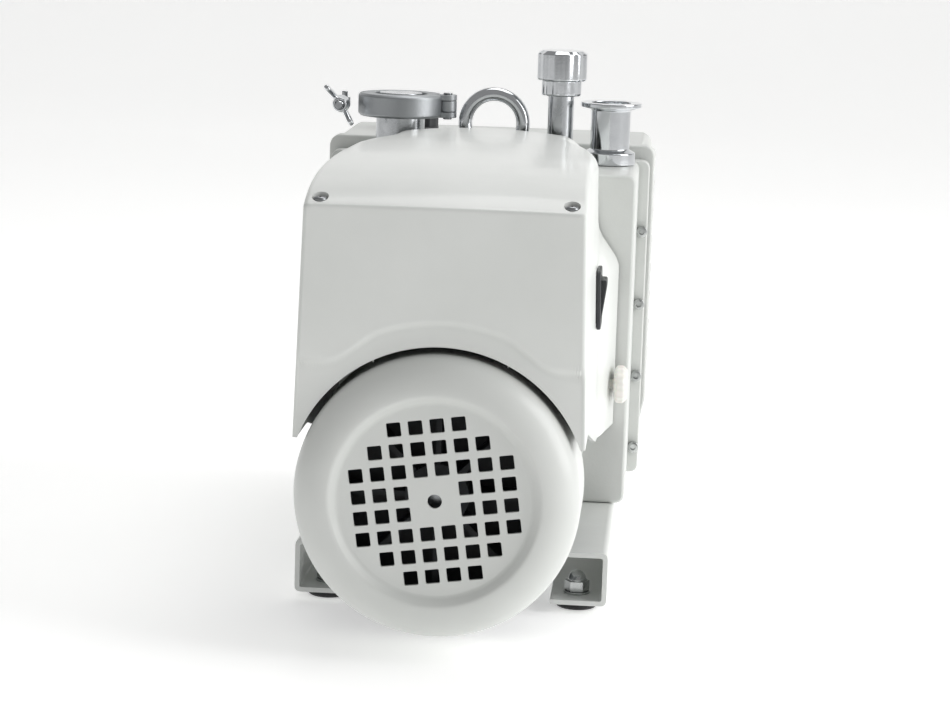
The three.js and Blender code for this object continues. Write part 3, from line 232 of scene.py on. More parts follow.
# %% Pieces
def raw_object(name, shells):
    vertices, faces = [], []
    for shell_vertices, shell_faces in shells:
        start = len(vertices)
        vertices += [tuple(metres(v)) for v in shell_vertices]
        faces += [[start + i for i in face] for face in shell_faces]
    mesh = bpy.data.meshes.new(name)
    mesh.from_pydata(vertices, [], faces)
    work = bmesh.new()
    work.from_mesh(mesh)
    bmesh.ops.recalc_face_normals(work, faces=work.faces)
    work.to_mesh(mesh)
    work.free()
    thing = bpy.data.objects.new(name, mesh)
    bpy.context.scene.collection.objects.link(thing)
    return thing


def combine(thing, others, operation):
    """Booleans are applied at once, and the tools go."""
    for shells in others:
        tool = raw_object("tool", [shells])
        change = thing.modifiers.new("cut", "BOOLEAN")
        change.object = tool
        change.operation = operation
        change.solver = "EXACT"
        bpy.context.view_layer.update()
        result = bpy.data.meshes.new_from_object(thing.evaluated_get(bpy.context.evaluated_depsgraph_get()))
        thing.modifiers.clear()
        thing.data = result
        bpy.data.objects.remove(tool)
    return thing


def shade(thing, angle=35.0):
    work = bmesh.new()
    work.from_mesh(thing.data)
    limit = math.radians(angle)
    for face in work.faces:
        face.smooth = True
    for edge in work.edges:
        edge.smooth = len(edge.link_faces) == 2 and edge.calc_face_angle() < limit
    work.to_mesh(thing.data)
    work.free()
    weighted = thing.modifiers.new("flat faces stay flat", "WEIGHTED_NORMAL")
    weighted.keep_sharp = True
    return thing


def piece(name, shells, material, body="root", stands_for=(), cuts=(), joins=(), angle=35.0):
    thing = raw_object(name, shells)
    combine(thing, joins, "UNION")
    combine(thing, cuts, "DIFFERENCE")
    return complete(thing, material, body, stands_for, angle)


def complete(thing, material, body="root", stands_for=(), angle=35.0):
    thing.data.materials.clear()
    thing.data.materials.append(material)
    shade(thing, angle)
    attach(thing, body)
    if stands_for:
        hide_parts(*stands_for)
    print(thing.name, len(thing.data.polygons), "faces")
    return thing


# %% [markdown]
# ## Colour and texture
# Finishes are measured as sRGB hex values, while the renderer works in linear light, so one function
# converts them. One more function adds a shader node with its settings and its links. Every pattern is
# laid out in object space, in metres, so a 2 mm pattern is 2 mm on each piece.

# %% Node helper
def linear(hex_colour):
    value = hex_colour.lstrip("#")
    channels = [int(value[i:i + 2], 16) / 255 for i in (0, 2, 4)]
    return [c / 12.92 if c <= 0.04045 else ((c + 0.055) / 1.055) ** 2.4 for c in channels] + [1.0]


def add(tree, kind, settings=None, links=None):
    node = tree.nodes.new("ShaderNode" + kind)
    for key, value in (settings or {}).items():
        if isinstance(key, int) or key in node.inputs.keys():
            node.inputs[key].default_value = value
        else:
            setattr(node, key, value)
    for key, source in (links or {}).items():
        tree.links.new(source, node.inputs[key])
    return node


def per_mm(size):
    """The texture scale that repeats once in so many millimetres, in metre coordinates."""
    return 1 / (size * MM)


def blank_material(name):
    material = bpy.data.materials.new(name)
    material.use_nodes = True
    tree = material.node_tree
    tree.nodes.clear()
    where = add(tree, "TexCoord").outputs["Object"]
    return material, tree, where


def close_material(tree, shader):
    add(tree, "OutputMaterial", links={"Surface": shader.outputs[0]})


def surface(tree, colours, mask, gloss, height, depth, settings, under=None):
    """Two colours mixed by a mask, one gloss and one relief, wired into one shader."""
    tone = add(tree, "Mix", {"data_type": "RGBA", 6: linear(colours[0]), 7: linear(colours[1])},
               {"Factor": mask})
    relief = add(tree, "Bump", {"Strength": 1.0, "Distance": depth * MM}, {"Height": height, **(under or {})})
    shader = add(tree, "BsdfPrincipled", settings,
                 {"Base Color": tone.outputs[2], "Roughness": gloss, "Normal": relief.outputs["Normal"]})
    close_material(tree, shader)


# %% [markdown]
# ## Powder coat and enamel
# Sheet covers are powder coated: the melted powder is glossy and flows into a faint orange peel, about
# 3 mm from crest to crest. Castings are sprayed with enamel over sand-cast skin, so theirs is a finer,
# deeper grain and less gloss. On both, the hollows of the mesh, found by its pointiness, take a darker
# colour as painted shade, and a broad cloud varies the tone at random. A paint is a clear binder, so its IOR
# is 1.5 and it isn't metallic.

# %% Paint
def paint(name, colour, shade_colour, roughness, peel, peel_height, grain, grain_height, coat=0.0):
    material, tree, where = blank_material(name)
    cloud = add(tree, "TexNoise", {"Scale": per_mm(70), "Detail": 3.0}, {"Vector": where})
    speck = add(tree, "TexNoise", {"Scale": per_mm(1.2), "Detail": 2.0}, {"Vector": where})
    point = add(tree, "NewGeometry").outputs["Pointiness"]
    # painted shade: concave places of the mesh, where pointiness is under 0.5, take the darker shade colour
    hollow = add(tree, "MapRange", {"From Min": 0.47, "From Max": 0.5, "To Min": 1.0, "To Max": 0.0},
                 {"Value": point})
    spread = add(tree, "MapRange", {"From Min": 0.35, "From Max": 0.75, "To Min": 0.0, "To Max": 0.35},
                 {"Value": cloud.outputs["Fac"]})
    # the mask is painted shade in the hollows plus a random cloud of darker tone
    painted_shade_and_tone = add(tree, "Math", {"operation": "MULTIPLY_ADD", 1: 0.35},
               {0: hollow.outputs["Result"], 2: spread.outputs["Result"]})
    gloss = add(tree, "MapRange", {"To Min": roughness - 0.05, "To Max": roughness + 0.07},
                {"Value": speck.outputs["Fac"]})
    flow = add(tree, "TexNoise", {"Scale": per_mm(peel), "Detail": 1.0}, {"Vector": where})
    sand = add(tree, "TexNoise", {"Scale": per_mm(grain), "Detail": 3.0, "Roughness": 0.6}, {"Vector": where})
    wave = add(tree, "Bump", {"Strength": 1.0, "Distance": peel_height * MM}, {"Height": flow.outputs["Fac"]})
    surface(tree, (colour, shade_colour), painted_shade_and_tone.outputs["Value"], gloss.outputs["Result"],
            sand.outputs["Fac"], grain_height, {"IOR": 1.5, "Coat Weight": coat, "Coat Roughness": 0.12},
            {"Normal": wave.outputs["Normal"]})
    return material


powder_coat = paint("powder_coat_white", "#E4E6E3", "#CDD0CC", 0.34, 3.2, 0.05, 0.8, 0.004, coat=0.25)
cowl_enamel = paint("enamel_pale_grey", "#D9DBD8", "#C3C6C2", 0.38, 4.0, 0.04, 1.0, 0.012, coat=0.15)
cast_enamel = paint("enamel_on_casting", "#D3D5D2", "#B4B7B3", 0.45, 6.0, 0.10, 1.4, 0.09)
base_coat = paint("powder_coat_base", "#E0E2DF", "#C2C5C1", 0.42, 3.2, 0.05, 0.9, 0.01)
print("paints ready")

# %% [markdown]
# ## Moulded plastics and rubber
# ABS comes out of a spark-eroded mould with a dull, pebbled grain, under half a millimetre wide. It is
# drawn at 0.9 mm so that it still shows. Nylon is smoother and lets a little light in. Rubber is black
# with carbon, very rough, and greys where dust settles on it.

# %% Plastic and rubber
def moulded(name, colour, worn_colour, roughness, grain, height, ior=1.53, subsurface=0.0, sheen=0.0):
    material, tree, where = blank_material(name)
    pebbles = add(tree, "TexVoronoi", {"Scale": per_mm(grain)}, {"Vector": where})
    cloud = add(tree, "TexNoise", {"Scale": per_mm(18), "Detail": 4.0}, {"Vector": where})
    wear = add(tree, "MapRange", {"From Min": 0.5, "From Max": 0.56, "To Min": 0.0, "To Max": 0.6},
               {"Value": add(tree, "NewGeometry").outputs["Pointiness"]})
    patch = add(tree, "Math", {"operation": "MULTIPLY_ADD", 1: 0.3},
                {0: cloud.outputs["Fac"], 2: wear.outputs["Result"]})
    dull = add(tree, "MapRange", {"To Min": roughness - 0.06, "To Max": roughness + 0.08},
               {"Value": cloud.outputs["Fac"]})
    surface(tree, (colour, worn_colour), patch.outputs["Value"], dull.outputs["Result"],
            pebbles.outputs["Distance"], height,
            {"IOR": ior, "Subsurface Weight": subsurface, "Subsurface Scale": 2 * MM,
             "Sheen Weight": sheen, "Sheen Roughness": 0.5})
    return material


black_abs = moulded("abs_black", "#1A1B1D", "#37393C", 0.42, 0.9, 0.03)
fan_plastic = moulded("polypropylene_fan", "#2A2C2E", "#46494C", 0.55, 1.2, 0.03, ior=1.49)
foot_rubber = moulded("nitrile_rubber", "#161617", "#3A3A3B", 0.8, 1.6, 0.05, ior=1.52, sheen=0.1)
white_nylon = moulded("nylon_white", "#ECEBE6", "#D9D8D2", 0.32, 1.5, 0.01, subsurface=0.1)
spider_rubber = moulded("polyurethane_red", "#9E2F24", "#7A2018", 0.5, 1.5, 0.02, ior=1.5)
seal_rubber = moulded("fluoro_rubber_brown", "#5B2F22", "#74483A", 0.6, 1.2, 0.02, ior=1.4)
vane_composite = moulded("vane_fibre_composite", "#4A3F33", "#5F5345", 0.5, 0.7, 0.02)
gasket_sheet = moulded("gasket_fibre_sheet", "#3F4A3F", "#566256", 0.75, 0.6, 0.05)
varnish_paper = moulded("winding_varnish", "#8A4B22", "#B4713F", 0.35, 1.1, 0.12)
print("plastics ready")

# %% [markdown]
# ## Metals
# Turned steel keeps the fine rings of its last cut. Noise stretched along two directions, radius and
# height, gives such rings without a seam: it needs the piece's own axis. Chrome plate is the same
# steel polished, with faint smudges. Die-cast aluminium is dull, with a pebbled skin, and sawn or
# stamped sheet stacks show their layers. All metals keep the default IOR, and their base colour is
# what they reflect.

# %% Turned metal
def turned_metal(name, colour, dark_colour, roughness, centre, axis="Z", ring=0.35, height=0.006):
    material, tree, where = blank_material(name)
    middle = metres(centre)
    shifted = add(tree, "VectorMath", {"operation": "SUBTRACT", 1: middle}, {0: where})
    parts = add(tree, "SeparateXYZ", links={0: shifted.outputs["Vector"]})
    along = parts.outputs[axis]
    across = [parts.outputs[a] for a in "XYZ" if a != axis]
    flat = add(tree, "CombineXYZ", links={0: across[0], 1: across[1]})
    radius = add(tree, "VectorMath", {"operation": "LENGTH"}, {0: flat.outputs["Vector"]})
    lathe_space = add(tree, "CombineXYZ", links={0: radius.outputs["Value"], 1: along})
    rings = add(tree, "TexNoise", {"Scale": per_mm(ring), "Detail": 2.0},
                {"Vector": lathe_space.outputs["Vector"]})
    smudge = add(tree, "TexNoise", {"Scale": per_mm(9), "Detail": 5.0}, {"Vector": where})
    gloss = add(tree, "MapRange", {"From Min": 0.3, "From Max": 0.7, "To Min": roughness * 0.7,
                                   "To Max": roughness * 1.5}, {"Value": smudge.outputs["Fac"]})
    surface(tree, (colour, dark_colour), smudge.outputs["Fac"], gloss.outputs["Result"],
            rings.outputs["Fac"], height, {"Metallic": 1.0})
    return material


# %% Cast and stamped metal
def cast_metal(name, colour, dark_colour, roughness, grain, height, layers=0.0):
    material, tree, where = blank_material(name)
    pebble = add(tree, "TexNoise", {"Scale": per_mm(grain), "Detail": 4.0}, {"Vector": where})
    stretch = add(tree, "Mapping", links={"Vector": where})
    stretch.inputs["Scale"].default_value = (0.02, 1.0, 0.02) if layers else (1.0, 1.0, 1.0)
    sheet = add(tree, "TexNoise", {"Scale": per_mm(layers or 30), "Detail": 1.0},
                {"Vector": stretch.outputs["Vector"]})
    gloss = add(tree, "MapRange", {"To Min": roughness - 0.12, "To Max": roughness + 0.12},
                {"Value": pebble.outputs["Fac"]})
    surface(tree, (colour, dark_colour), sheet.outputs["Fac"], gloss.outputs["Result"],
            pebble.outputs["Fac"], height, {"Metallic": 1.0})
    return material


die_cast = cast_metal("aluminium_die_cast", "#B4B7B9", "#8E9194", 0.45, 1.1, 0.03)
frame_cast = cast_metal("aluminium_motor_frame", "#A9ACAE", "#85888B", 0.55, 1.6, 0.05)
grey_iron = cast_metal("grey_iron_machined", "#6A6C6E", "#4E5052", 0.5, 0.8, 0.02)
laminations = cast_metal("steel_laminations", "#77797B", "#505254", 0.45, 1.0, 0.01, layers=1.0)
spring_steel = cast_metal("spring_steel_strip", "#A9ABAD", "#8C8F92", 0.3, 2.0, 0.003)
print("metals ready")

# %% [markdown]
# ## Camera and studio
# The pump is seen from a little above and a little to its right, from about a metre and a half away.
# A pale floor that runs up into a wall, a wide soft lamp on the right and another overhead give the
# even light of a product shot: the top and the right side are bright, and the front is greyer. The
# paper glows a little with its own emission, so it stays white in the picture.

# %% Camera
EYE = Vector((0.1233, -1.6957, 0.4302))
low, high = cad_low, cad_high
aim = Vector(((low.x + high.x) / 2 + 0.020, low.y, (low.z + high.z) / 2 + 0.016))
camera_data = bpy.data.cameras.new("camera")
camera_data.lens = 103.0
camera_data.sensor_width = 36.0
camera = bpy.data.objects.new("camera", camera_data)
bpy.context.scene.collection.objects.link(camera)
ROLL = math.radians(1.8)
facing = (aim - EYE).to_track_quat("-Z", "Y").to_matrix().to_4x4()
camera.matrix_world = Matrix.Translation(EYE) @ facing @ Matrix.Rotation(ROLL, 4, "Z")
bpy.context.scene.camera = camera
print("camera at", [round(v, 3) for v in EYE])


# %% Studio
def soft_lamp(name, place, target, size, power):
    data = bpy.data.lights.new(name, "AREA")
    data.shape = "RECTANGLE"
    data.size, data.size_y = size
    data.energy = power
    lamp = bpy.data.objects.new(name, data)
    bpy.context.scene.collection.objects.link(lamp)
    lamp.location = place
    lamp.rotation_mode = "QUATERNION"
    lamp.rotation_quaternion = (Vector(target) - Vector(place)).to_track_quat("-Z", "Y")
    return lamp


soft_lamp("right_softbox", (1.9, -0.35, 1.0), (0, 0, 0.15), (1.4, 1.8), 30)
soft_lamp("top_softbox", (0.3, 0.5, 2.2), (0, 0, 0.15), (1.6, 1.2), 17)
world = bpy.data.worlds.new("studio")
world.use_nodes = True
world.node_tree.nodes["Background"].inputs["Color"].default_value = (1, 1, 1, 1)
world.node_tree.nodes["Background"].inputs["Strength"].default_value = 0.33
bpy.context.scene.world = world
bpy.context.scene.view_settings.view_transform = "Standard"

FLOOR_HALF = 4.0
BEND = 1.2
cove = [(-FLOOR_HALF, 0.0), (FLOOR_HALF - BEND, 0.0)]
cove += [(FLOOR_HALF - BEND + BEND * math.sin(a), BEND - BEND * math.cos(a))
         for a in [math.pi / 2 * k / 12 for k in range(1, 13)]]
cove.append((FLOOR_HALF, 4.0))
floor_mesh = bpy.data.meshes.new("studio_floor")
corners = [(side * 6.0, y, z) for y, z in cove for side in (-1, 1)]
floor_mesh.from_pydata(corners, [], [[2 * i, 2 * i + 1, 2 * i + 3, 2 * i + 2] for i in range(len(cove) - 1)])
for face in floor_mesh.polygons:
    face.use_smooth = True
floor = bpy.data.objects.new("studio_floor", floor_mesh)
bpy.context.scene.collection.objects.link(floor)
paper, paper_tree, paper_where = blank_material("studio_paper")
fibre = add(paper_tree, "TexNoise", {"Scale": per_mm(400), "Detail": 2.0}, {"Vector": paper_where})
paper_tone = add(paper_tree, "Mix", {"data_type": "RGBA", 6: linear("#F6F6F5"), 7: linear("#F2F2F1")},
               {"Factor": fibre.outputs["Fac"]})
close_material(paper_tree, add(paper_tree, "BsdfPrincipled",
                               {"Roughness": 0.9, "IOR": 1.3, "Emission Color": (1, 1, 1, 1),
                                "Emission Strength": 0.38}, {"Base Color": paper_tone.outputs[2]}))
floor_mesh.materials.append(paper)
print("studio ready")

# %% [markdown]
# ## Motor cover
# One sheet of steel is drawn over the motor like a bonnet: a flat front with an arch for the fan cowl,
# a top that rises fast and then runs level, and sides that lean out a little. The top edges are crisp
# at the front and melt into a wide fillet at the rear. A grid of sections along the shaft draws this
# best, because each feature is a function of the place along it, and a solidify modifier then gives
# the sheet its thickness.

# %% Cover outline
cover_low, cover_high = span("motor_cover")
COVER_FRONT = cover_low.y
COVER_END = cover_high.y
SIDE_END = span("pump_block")[0].y - 2.0
HOOD_FOOT = span("pump_block")[1].z + 2.0
FRONT_FOOT = 30.0
EDGE_HEIGHTS = [(14, 159.6), (20, 163.4), (30, 167.6), (43, 171.0), (65, 174.3), (94, 176.3), (128, 177.4),
                (207, 177.8), (250, 177.2), (312, 176.0)]
CROWNS = [(14, 0.4), (43, 1.0), (94, 1.6), (207, 2.2), (312, 2.6)]
FILLETS = [(14, 2.6), (43, 3.0), (94, 4.5), (150, 7.5), (207, 13.0), (266, 19.0), (312, 20.0)]
NARROWING = [(14, 0.0), (205, 0.0), (225, 1.2), (248, 5.0), (266, 9.5), (285, 12.0), (312, 13.0)]
FOOT_LINE = [(14, 30.0), (60, 30.0), (200, -3.0), (312, -3.0)]
SHEET = 2.4
HALF_TOP = 77.6
SIDE_SLOPE = 3.6 / 130
SIDE_BASE = 160.0
FLARE_START = SIDE_END - 55.0
FLARE = 9.0


def read(table, place):
    for (a, va), (b, vb) in zip(table, table[1:]):
        if place <= b:
            return va + (vb - va) * max(0.0, min(1.0, (place - a) / (b - a)))
    return table[-1][1]


def smooth_read(table, place, reach=6.0):
    return sum(read(table, place + reach * k / 2) for k in (-2, -1, 0, 1, 2)) / 5


def ease(value, start, end):
    t = max(0.0, min(1.0, (value - start) / (end - start)))
    return t * t * (3 - 2 * t)


def half_width(y, z):
    straight = HALF_TOP + (SIDE_BASE - z) * SIDE_SLOPE
    narrow = smooth_read(NARROWING, y) * ease(z, 110.0, 170.0)
    flared = HALF_TOP + SIDE_BASE * SIDE_SLOPE + FLARE * max(0.0, y - FLARE_START) / (SIDE_END - FLARE_START)
    share = ease(y, FLARE_START, FLARE_START + 12) * (1 - ease(z, 98.0, 123.0))
    return straight - narrow + share * (flared - straight)


# %% Cover section
SIDE_ROWS = [k / 36 for k in range(37)]
FILLET_STEPS = 8
TOP_STEPS = 36


def half_section(y, inset=0.0):
    """The right half of the cover at one place, from its foot up to the middle of the top."""
    edge, fillet = smooth_read(EDGE_HEIGHTS, y, 3.0) - inset, smooth_read(FILLETS, y)
    top_side = edge - fillet
    foot = read(FOOT_LINE, y)
    line = []
    for t in SIDE_ROWS:
        z = foot + (HOOD_FOOT - foot) * t
        line.append((half_width(y, min(z, top_side)) - inset, min(z, top_side - 0.4 * (1 - t))))
    wide = half_width(y, top_side) - inset
    for k in range(FILLET_STEPS + 1):
        a = math.pi / 2 * k / FILLET_STEPS
        line.append((wide - fillet + fillet * math.cos(a), top_side + fillet * math.sin(a)))
    crown = smooth_read(CROWNS, y)
    inner = wide - fillet
    for k in range(1, TOP_STEPS + 1):
        x = inner * (1 - k / TOP_STEPS)
        line.append((x, edge + crown * (1 - (x / inner) ** 2)))
    return line


def full_section(y, inset=0.0):
    right = half_section(y, inset)
    return right + [(-x, z) for x, z in reversed(right[:-1])]


# %% [markdown]
# The front has a bell-shaped crease: below it the sheet is pressed in by a millimetre and a half, so
# that it follows the fan cowl. The press line is a soft step, drawn as a narrow strip with an S-shaped slope,
# and the first ring of the grid follows the step down the sides.

# %% Cover front
CREASE_LEVEL = 75.0
CREASE_RADIUS = 99.0
CREASE_DEPTH = 1.6
CREASE_RUN = 4.2
ARCH_RADIUS = 84.0
EDGE_ROUND = 2.2


def crease_height(x):
    """The press line's height: level at the sides, then round the cowl."""
    reach = abs(x)
    dome = math.sqrt(max(CREASE_RADIUS ** 2 - reach ** 2, 0.0))
    return CREASE_LEVEL + max(dome - CREASE_LEVEL, 0.0) * (1 - ease(reach, 34.0, 74.0))


def press_depth(x, z):
    return CREASE_DEPTH * (1 - ease(z, crease_height(x) - CREASE_RUN, crease_height(x)))


def front_rings():
    """Rounds the edge between the front and the sides, from the flat front outwards."""
    rings = []
    for k in range(5):
        a = math.pi / 2 * k / 4
        inset = EDGE_ROUND * (1 - math.sin(a))
        rise = EDGE_ROUND * (1 - math.cos(a))
        section = full_section(COVER_FRONT + EDGE_ROUND, inset)
        fade = 1 - k / 4
        rings.append([(x, COVER_FRONT + rise + press_depth(x, z) * fade, z) for x, z in section])
    return rings


# %% [markdown]
# The flat front itself is filled in polar fashion: every point of the first ring is joined to a point
# of the arch by a straight row of faces, so no face is long and thin, and the press line is a smooth
# change of depth along those rows.

# %% Cover mesh
FRONT_ROWS = 72


def shares_along(points):
    """How far along the line each point lies, from 0 to 1: its partner on the arch lies as far along."""
    lengths = [0.0]
    for a, b in zip(points, points[1:]):
        lengths.append(lengths[-1] + math.dist(a, b))
    return [length / lengths[-1] for length in lengths]


def cover_mesh():
    rings = front_rings()
    stations = [COVER_FRONT + EDGE_ROUND + d for d in (1.0, 3.0, 6.0, 10.0, 15.0, 21.0, 28.0, 36.0)]
    place = stations[-1] + 9.0
    while place < SIDE_END - 4:
        stations.append(place)
        place += 9.0
    stations += [SIDE_END, SIDE_END + 0.5]
    hood = [SIDE_END + 9.0 * k for k in range(1, 5)] + [COVER_END - 1.0, COVER_END]
    stations += hood
    rings += [[(x, y, z) for x, z in full_section(y)] for y in stations]
    vertices = [v for ring in rings for v in ring]
    count = len(rings[0])
    side_rows = len(SIDE_ROWS) - 1
    faces = []
    for r in range(len(rings) - 1):
        behind_sides = rings[r][0][1] >= SIDE_END - 0.01
        for i in range(count - 1):
            low_side = i < side_rows or i >= count - 1 - side_rows
            if behind_sides and low_side:
                continue
            a = r * count + i
            faces.append([a, a + 1, a + count + 1, a + count])
    shares = shares_along([(x, z) for x, y, z in rings[0]])
    start = math.asin(FRONT_FOOT / ARCH_RADIUS)
    base = len(vertices)
    for row in range(1, FRONT_ROWS + 1):
        t = row / FRONT_ROWS
        for i, (x, y, z) in enumerate(rings[0]):
            a = start + (math.pi - 2 * start) * shares[i]
            ax, az = ARCH_RADIUS * math.cos(a), ARCH_RADIUS * math.sin(a)
            px, pz = x + (ax - x) * t, z + (az - z) * t
            vertices.append((px, COVER_FRONT + press_depth(px, pz), pz))
    for row in range(FRONT_ROWS):
        for i in range(count - 1):
            a = i if row == 0 else base + (row - 1) * count + i
            b = base + row * count + i
            faces.append([a, b, b + 1, a + 1])
    return vertices, faces


# %% Cover piece
def sheet_metal_cover():
    thing = raw_object("cover_sheet", [cover_mesh()])
    work = bmesh.new()
    work.from_mesh(thing.data)
    bmesh.ops.delete(work, geom=[v for v in work.verts if not v.link_faces], context="VERTS")
    bmesh.ops.recalc_face_normals(work, faces=work.faces)
    top = max(work.faces, key=lambda f: f.calc_center_median().z)
    if top.normal.z < 0:
        bmesh.ops.reverse_faces(work, faces=work.faces)
    work.to_mesh(thing.data)
    work.free()
    thick = thing.modifiers.new("sheet", "SOLIDIFY")
    thick.thickness = SHEET * MM
    thick.offset = -1.0
    bpy.context.view_layer.update()
    result = bpy.data.meshes.new_from_object(thing.evaluated_get(bpy.context.evaluated_depsgraph_get()))
    thing.modifiers.clear()
    thing.data = result
    holes = []
    for node, half_y, half_z in (("switch_rocker", 12.0, 15.0), ("power_inlet", 15.0, 11.8)):
        middle = centre_of(node)
        depth = (middle.x - 30, middle.x + 30)
        holes.append(block(depth, (middle.y - half_y, middle.y + half_y),
                           (middle.z - half_z, middle.z + half_z), 0.5, "X"))
    for side in ("left", "right"):
        screw_low, screw_high = span("cover_screw_" + side)
        centre = (screw_low + screw_high) / 2
        holes.append(turned(bar(4.6, screw_high.z - 2.6, 200), "Z", (centre.x, centre.y, 0), 40))
    combine(thing, holes, "DIFFERENCE")
    return complete(thing, powder_coat, "root", ["motor_cover"], 32.0)


sheet_metal_cover()

# %% [markdown]
# ## Fan cowl
# The cowl is spun from sheet: a rolled shoulder, a shallow dish and a flat grille punched with square
# holes, eight millimetres wide and twelve apart, turned a little out of line with the machine. It is
# turned as one shell, and the holes are then punched through it, as in the press.

# %% Cowl
COWL_RADIUS = (span("fan_cowl")[1].x - span("fan_cowl")[0].x) / 2
COWL_END = span("fan_cowl")[1].y
RIM_RADIUS = 59.5
SHOULDER = 18.0
DISH = 4.0
PITCH = 12.0
HOLE = 8.0
GRILLE_TURN = math.radians(-8)
ROWS = [2, 3, 4, 4, 4, 4, 3, 2]
HUB_ROWS = (3, 4)


def cowl_profile():
    shoulder = []
    for k in range(15):
        a = math.pi / 2 * k / 14
        shoulder.append((RIM_RADIUS + (COWL_RADIUS - RIM_RADIUS) * math.sin(a), SHOULDER * (1 - math.cos(a))))
    dish = soften([(0, DISH), (RIM_RADIUS - 5.0, DISH), (RIM_RADIUS - 0.6, 0.05), shoulder[1]], 1.6, 4, False)
    outer = dish[:-1] + shoulder[1:] + [(COWL_RADIUS, COWL_END)]
    inner = [(COWL_RADIUS - 2, COWL_END)]
    for k in range(9):
        a = math.pi / 2 * (1 - k / 8)
        inner.append((RIM_RADIUS + (COWL_RADIUS - 2 - RIM_RADIUS) * math.sin(a),
                      2 + SHOULDER * (1 - math.cos(a))))
    return outer + inner + [(RIM_RADIUS - 5.0, DISH + 2), (0, DISH + 2)]


def grille_punches():
    centres = [(0.0, 0.0)]
    for row, half in enumerate(ROWS):
        first = 1 if row in HUB_ROWS else 0
        for column in range(first, half):
            u, v = (column + 0.5) * PITCH, (row - 3.5) * PITCH
            centres += [(u, v), (-u, v)]
    vertices, faces = [], []
    for i, (u, v) in enumerate(centres):
        if i == 0:
            outline = circle(4.0, count=32)
        else:
            square = rectangle(u - HOLE / 2, v - HOLE / 2, u + HOLE / 2, v + HOLE / 2)
            outline = soften(square, 0.9, 3)
        punch = moved(plate(outline, "Y", DISH - 2, DISH + 4, edge=0.01, steps=1), GRILLE_TURN, "Y")
        start = len(vertices)
        vertices += punch[0]
        faces += [[start + n for n in face] for face in punch[1]]
    return vertices, faces


piece("cowl_shell", [turned(cowl_profile(), "Y", count=144)], cowl_enamel, stands_for=["fan_cowl"],
      cuts=[grille_punches()])

# %% [markdown]
# ## Motor
# Under the cover sits a cast aluminium frame with cooling fins. Each fin is a wedge with a flat
# tip, so the frame's outline repeats one short list of radii as the angle turns. The bell housing is
# a plain turned casting with a window on each side.

# %% Motor frame and bell housing
FINS = 36
frame_low, frame_high = span("motor_frame")
TIP = (frame_high.x - frame_low.x) / 2
ROOT = TIP - 6.5
MOTOR_BORE = 62.3


def fin_outline():
    points = []
    for fin in range(FINS):
        for share, radius in ((0.0, TIP), (0.09, TIP), (0.2, ROOT + 1), (0.3, ROOT), (0.7, ROOT),
                              (0.8, ROOT + 1), (0.91, TIP)):
            a = 2 * math.pi * (fin + share) / FINS
            points.append((radius * math.cos(a), radius * math.sin(a)))
    return points


bore = turned(bar(MOTOR_BORE, frame_low.y - 5, frame_high.y + 5), "Y", count=72)
piece("motor_frame_fins", [plate(fin_outline(), "Y", frame_low.y, frame_high.y, edge=0.8)], frame_cast,
      stands_for=["motor_frame"], cuts=[bore])


bell_low, bell_high = span("bell_housing")
bell_middle = (bell_low.y + bell_high.y) / 2
bell_windows = [block((x, x + 60), (bell_middle - 10, bell_middle + 10), (-18, 18), 3.0, "X")
                for x in (-90, 30)]
bell_steps = [(75, 0.0), (75, 0.15), (58, 0.22), (58, 0.78), (75, 0.85), (75, 1.0)]
bell_profile = [(52, bell_low.y)]
bell_profile += [(r, bell_low.y + t * (bell_high.y - bell_low.y)) for r, t in bell_steps]
bell_profile += [(52, bell_high.y)]
piece("bell_casting", [turned(soften(bell_profile, 1.5), "Y", count=96)], cast_enamel,
      stands_for=["bell_housing"], cuts=bell_windows)

# %% [markdown]
# ## Pump block and oil case
# The block is one deep casting, 200 mm wide, with a thin flange at the rear where the oil case is
# bolted on over a gasket. The oil case has level ribs down its sides, to shed heat, and its lower
# corners draw in. Both are sand cast, so their edges are rounder than those of sheet metal.

# %% Pump block
block_low, block_high = span("pump_block")
BODY_HALF = block_high.x - 7.0
FLANGE_DEPTH = 12.0
EXHAUST_HOLE = 11.0
SHAFT_HOLE = 20.3
intake_at = centre_of("intake_port")
exhaust_at = centre_of("exhaust_port")
body_outline = soften(rectangle(-BODY_HALF, block_low.z, BODY_HALF, block_high.z), 6.0, 6)
flange_outline = soften(rectangle(block_low.x, block_low.z, block_high.x, block_high.z), 6.0, 6)
cavity = block((-BODY_HALF + 10, BODY_HALF - 10), (block_low.y + 22, block_high.y + 20),
               (block_low.z + 10, block_high.z - 10), 4.0)
exhaust_hole = turned(bar(EXHAUST_HOLE, block_high.z - 20, block_high.z + 2), "Z",
                      (exhaust_at.x - 3, exhaust_at.y, 0), 40)
shaft_hole = turned(bar(SHAFT_HOLE, block_low.y - 2, block_low.y + 24), "Y", count=48)
piece("pump_block_casting", [plate(body_outline, "Y", block_low.y, block_high.y - 1, edge=2.2, steps=4)],
      cast_enamel, stands_for=["pump_block"],
      joins=[plate(flange_outline, "Y", block_high.y - FLANGE_DEPTH, block_high.y, edge=1.0)],
      cuts=[cavity, exhaust_hole, shaft_hole])

# %% Oil case
case_low, case_high = span("oil_case")
RIB_PITCH = 20.0
RIB_DEPTH = 3.5
RIBS = 8
SIGHT_HOLE = 15.0
FILL_HOLE = 12.3
WALL_X = case_high.x - RIB_DEPTH


def case_outline(side_x, ribbed):
    side = [(side_x - 15, case_low.z), (side_x - 9, case_low.z + 6), (side_x, -8)]
    if ribbed:
        for rib in reversed(range(RIBS)):
            z = case_high.z - 15 - rib * RIB_PITCH
            for k in range(9):
                t = k / 8
                side.append((side_x + RIB_DEPTH * math.sin(math.pi * t) ** 0.6, z - 5 + 10 * t))
    side += [(side_x, case_high.z - 6), (side_x - 2, case_high.z - 2), (side_x - 6, case_high.z)]
    rounded = soften(side, 2.0, 3, closed=False)
    return rounded + [(-x, z) for x, z in reversed(rounded)]


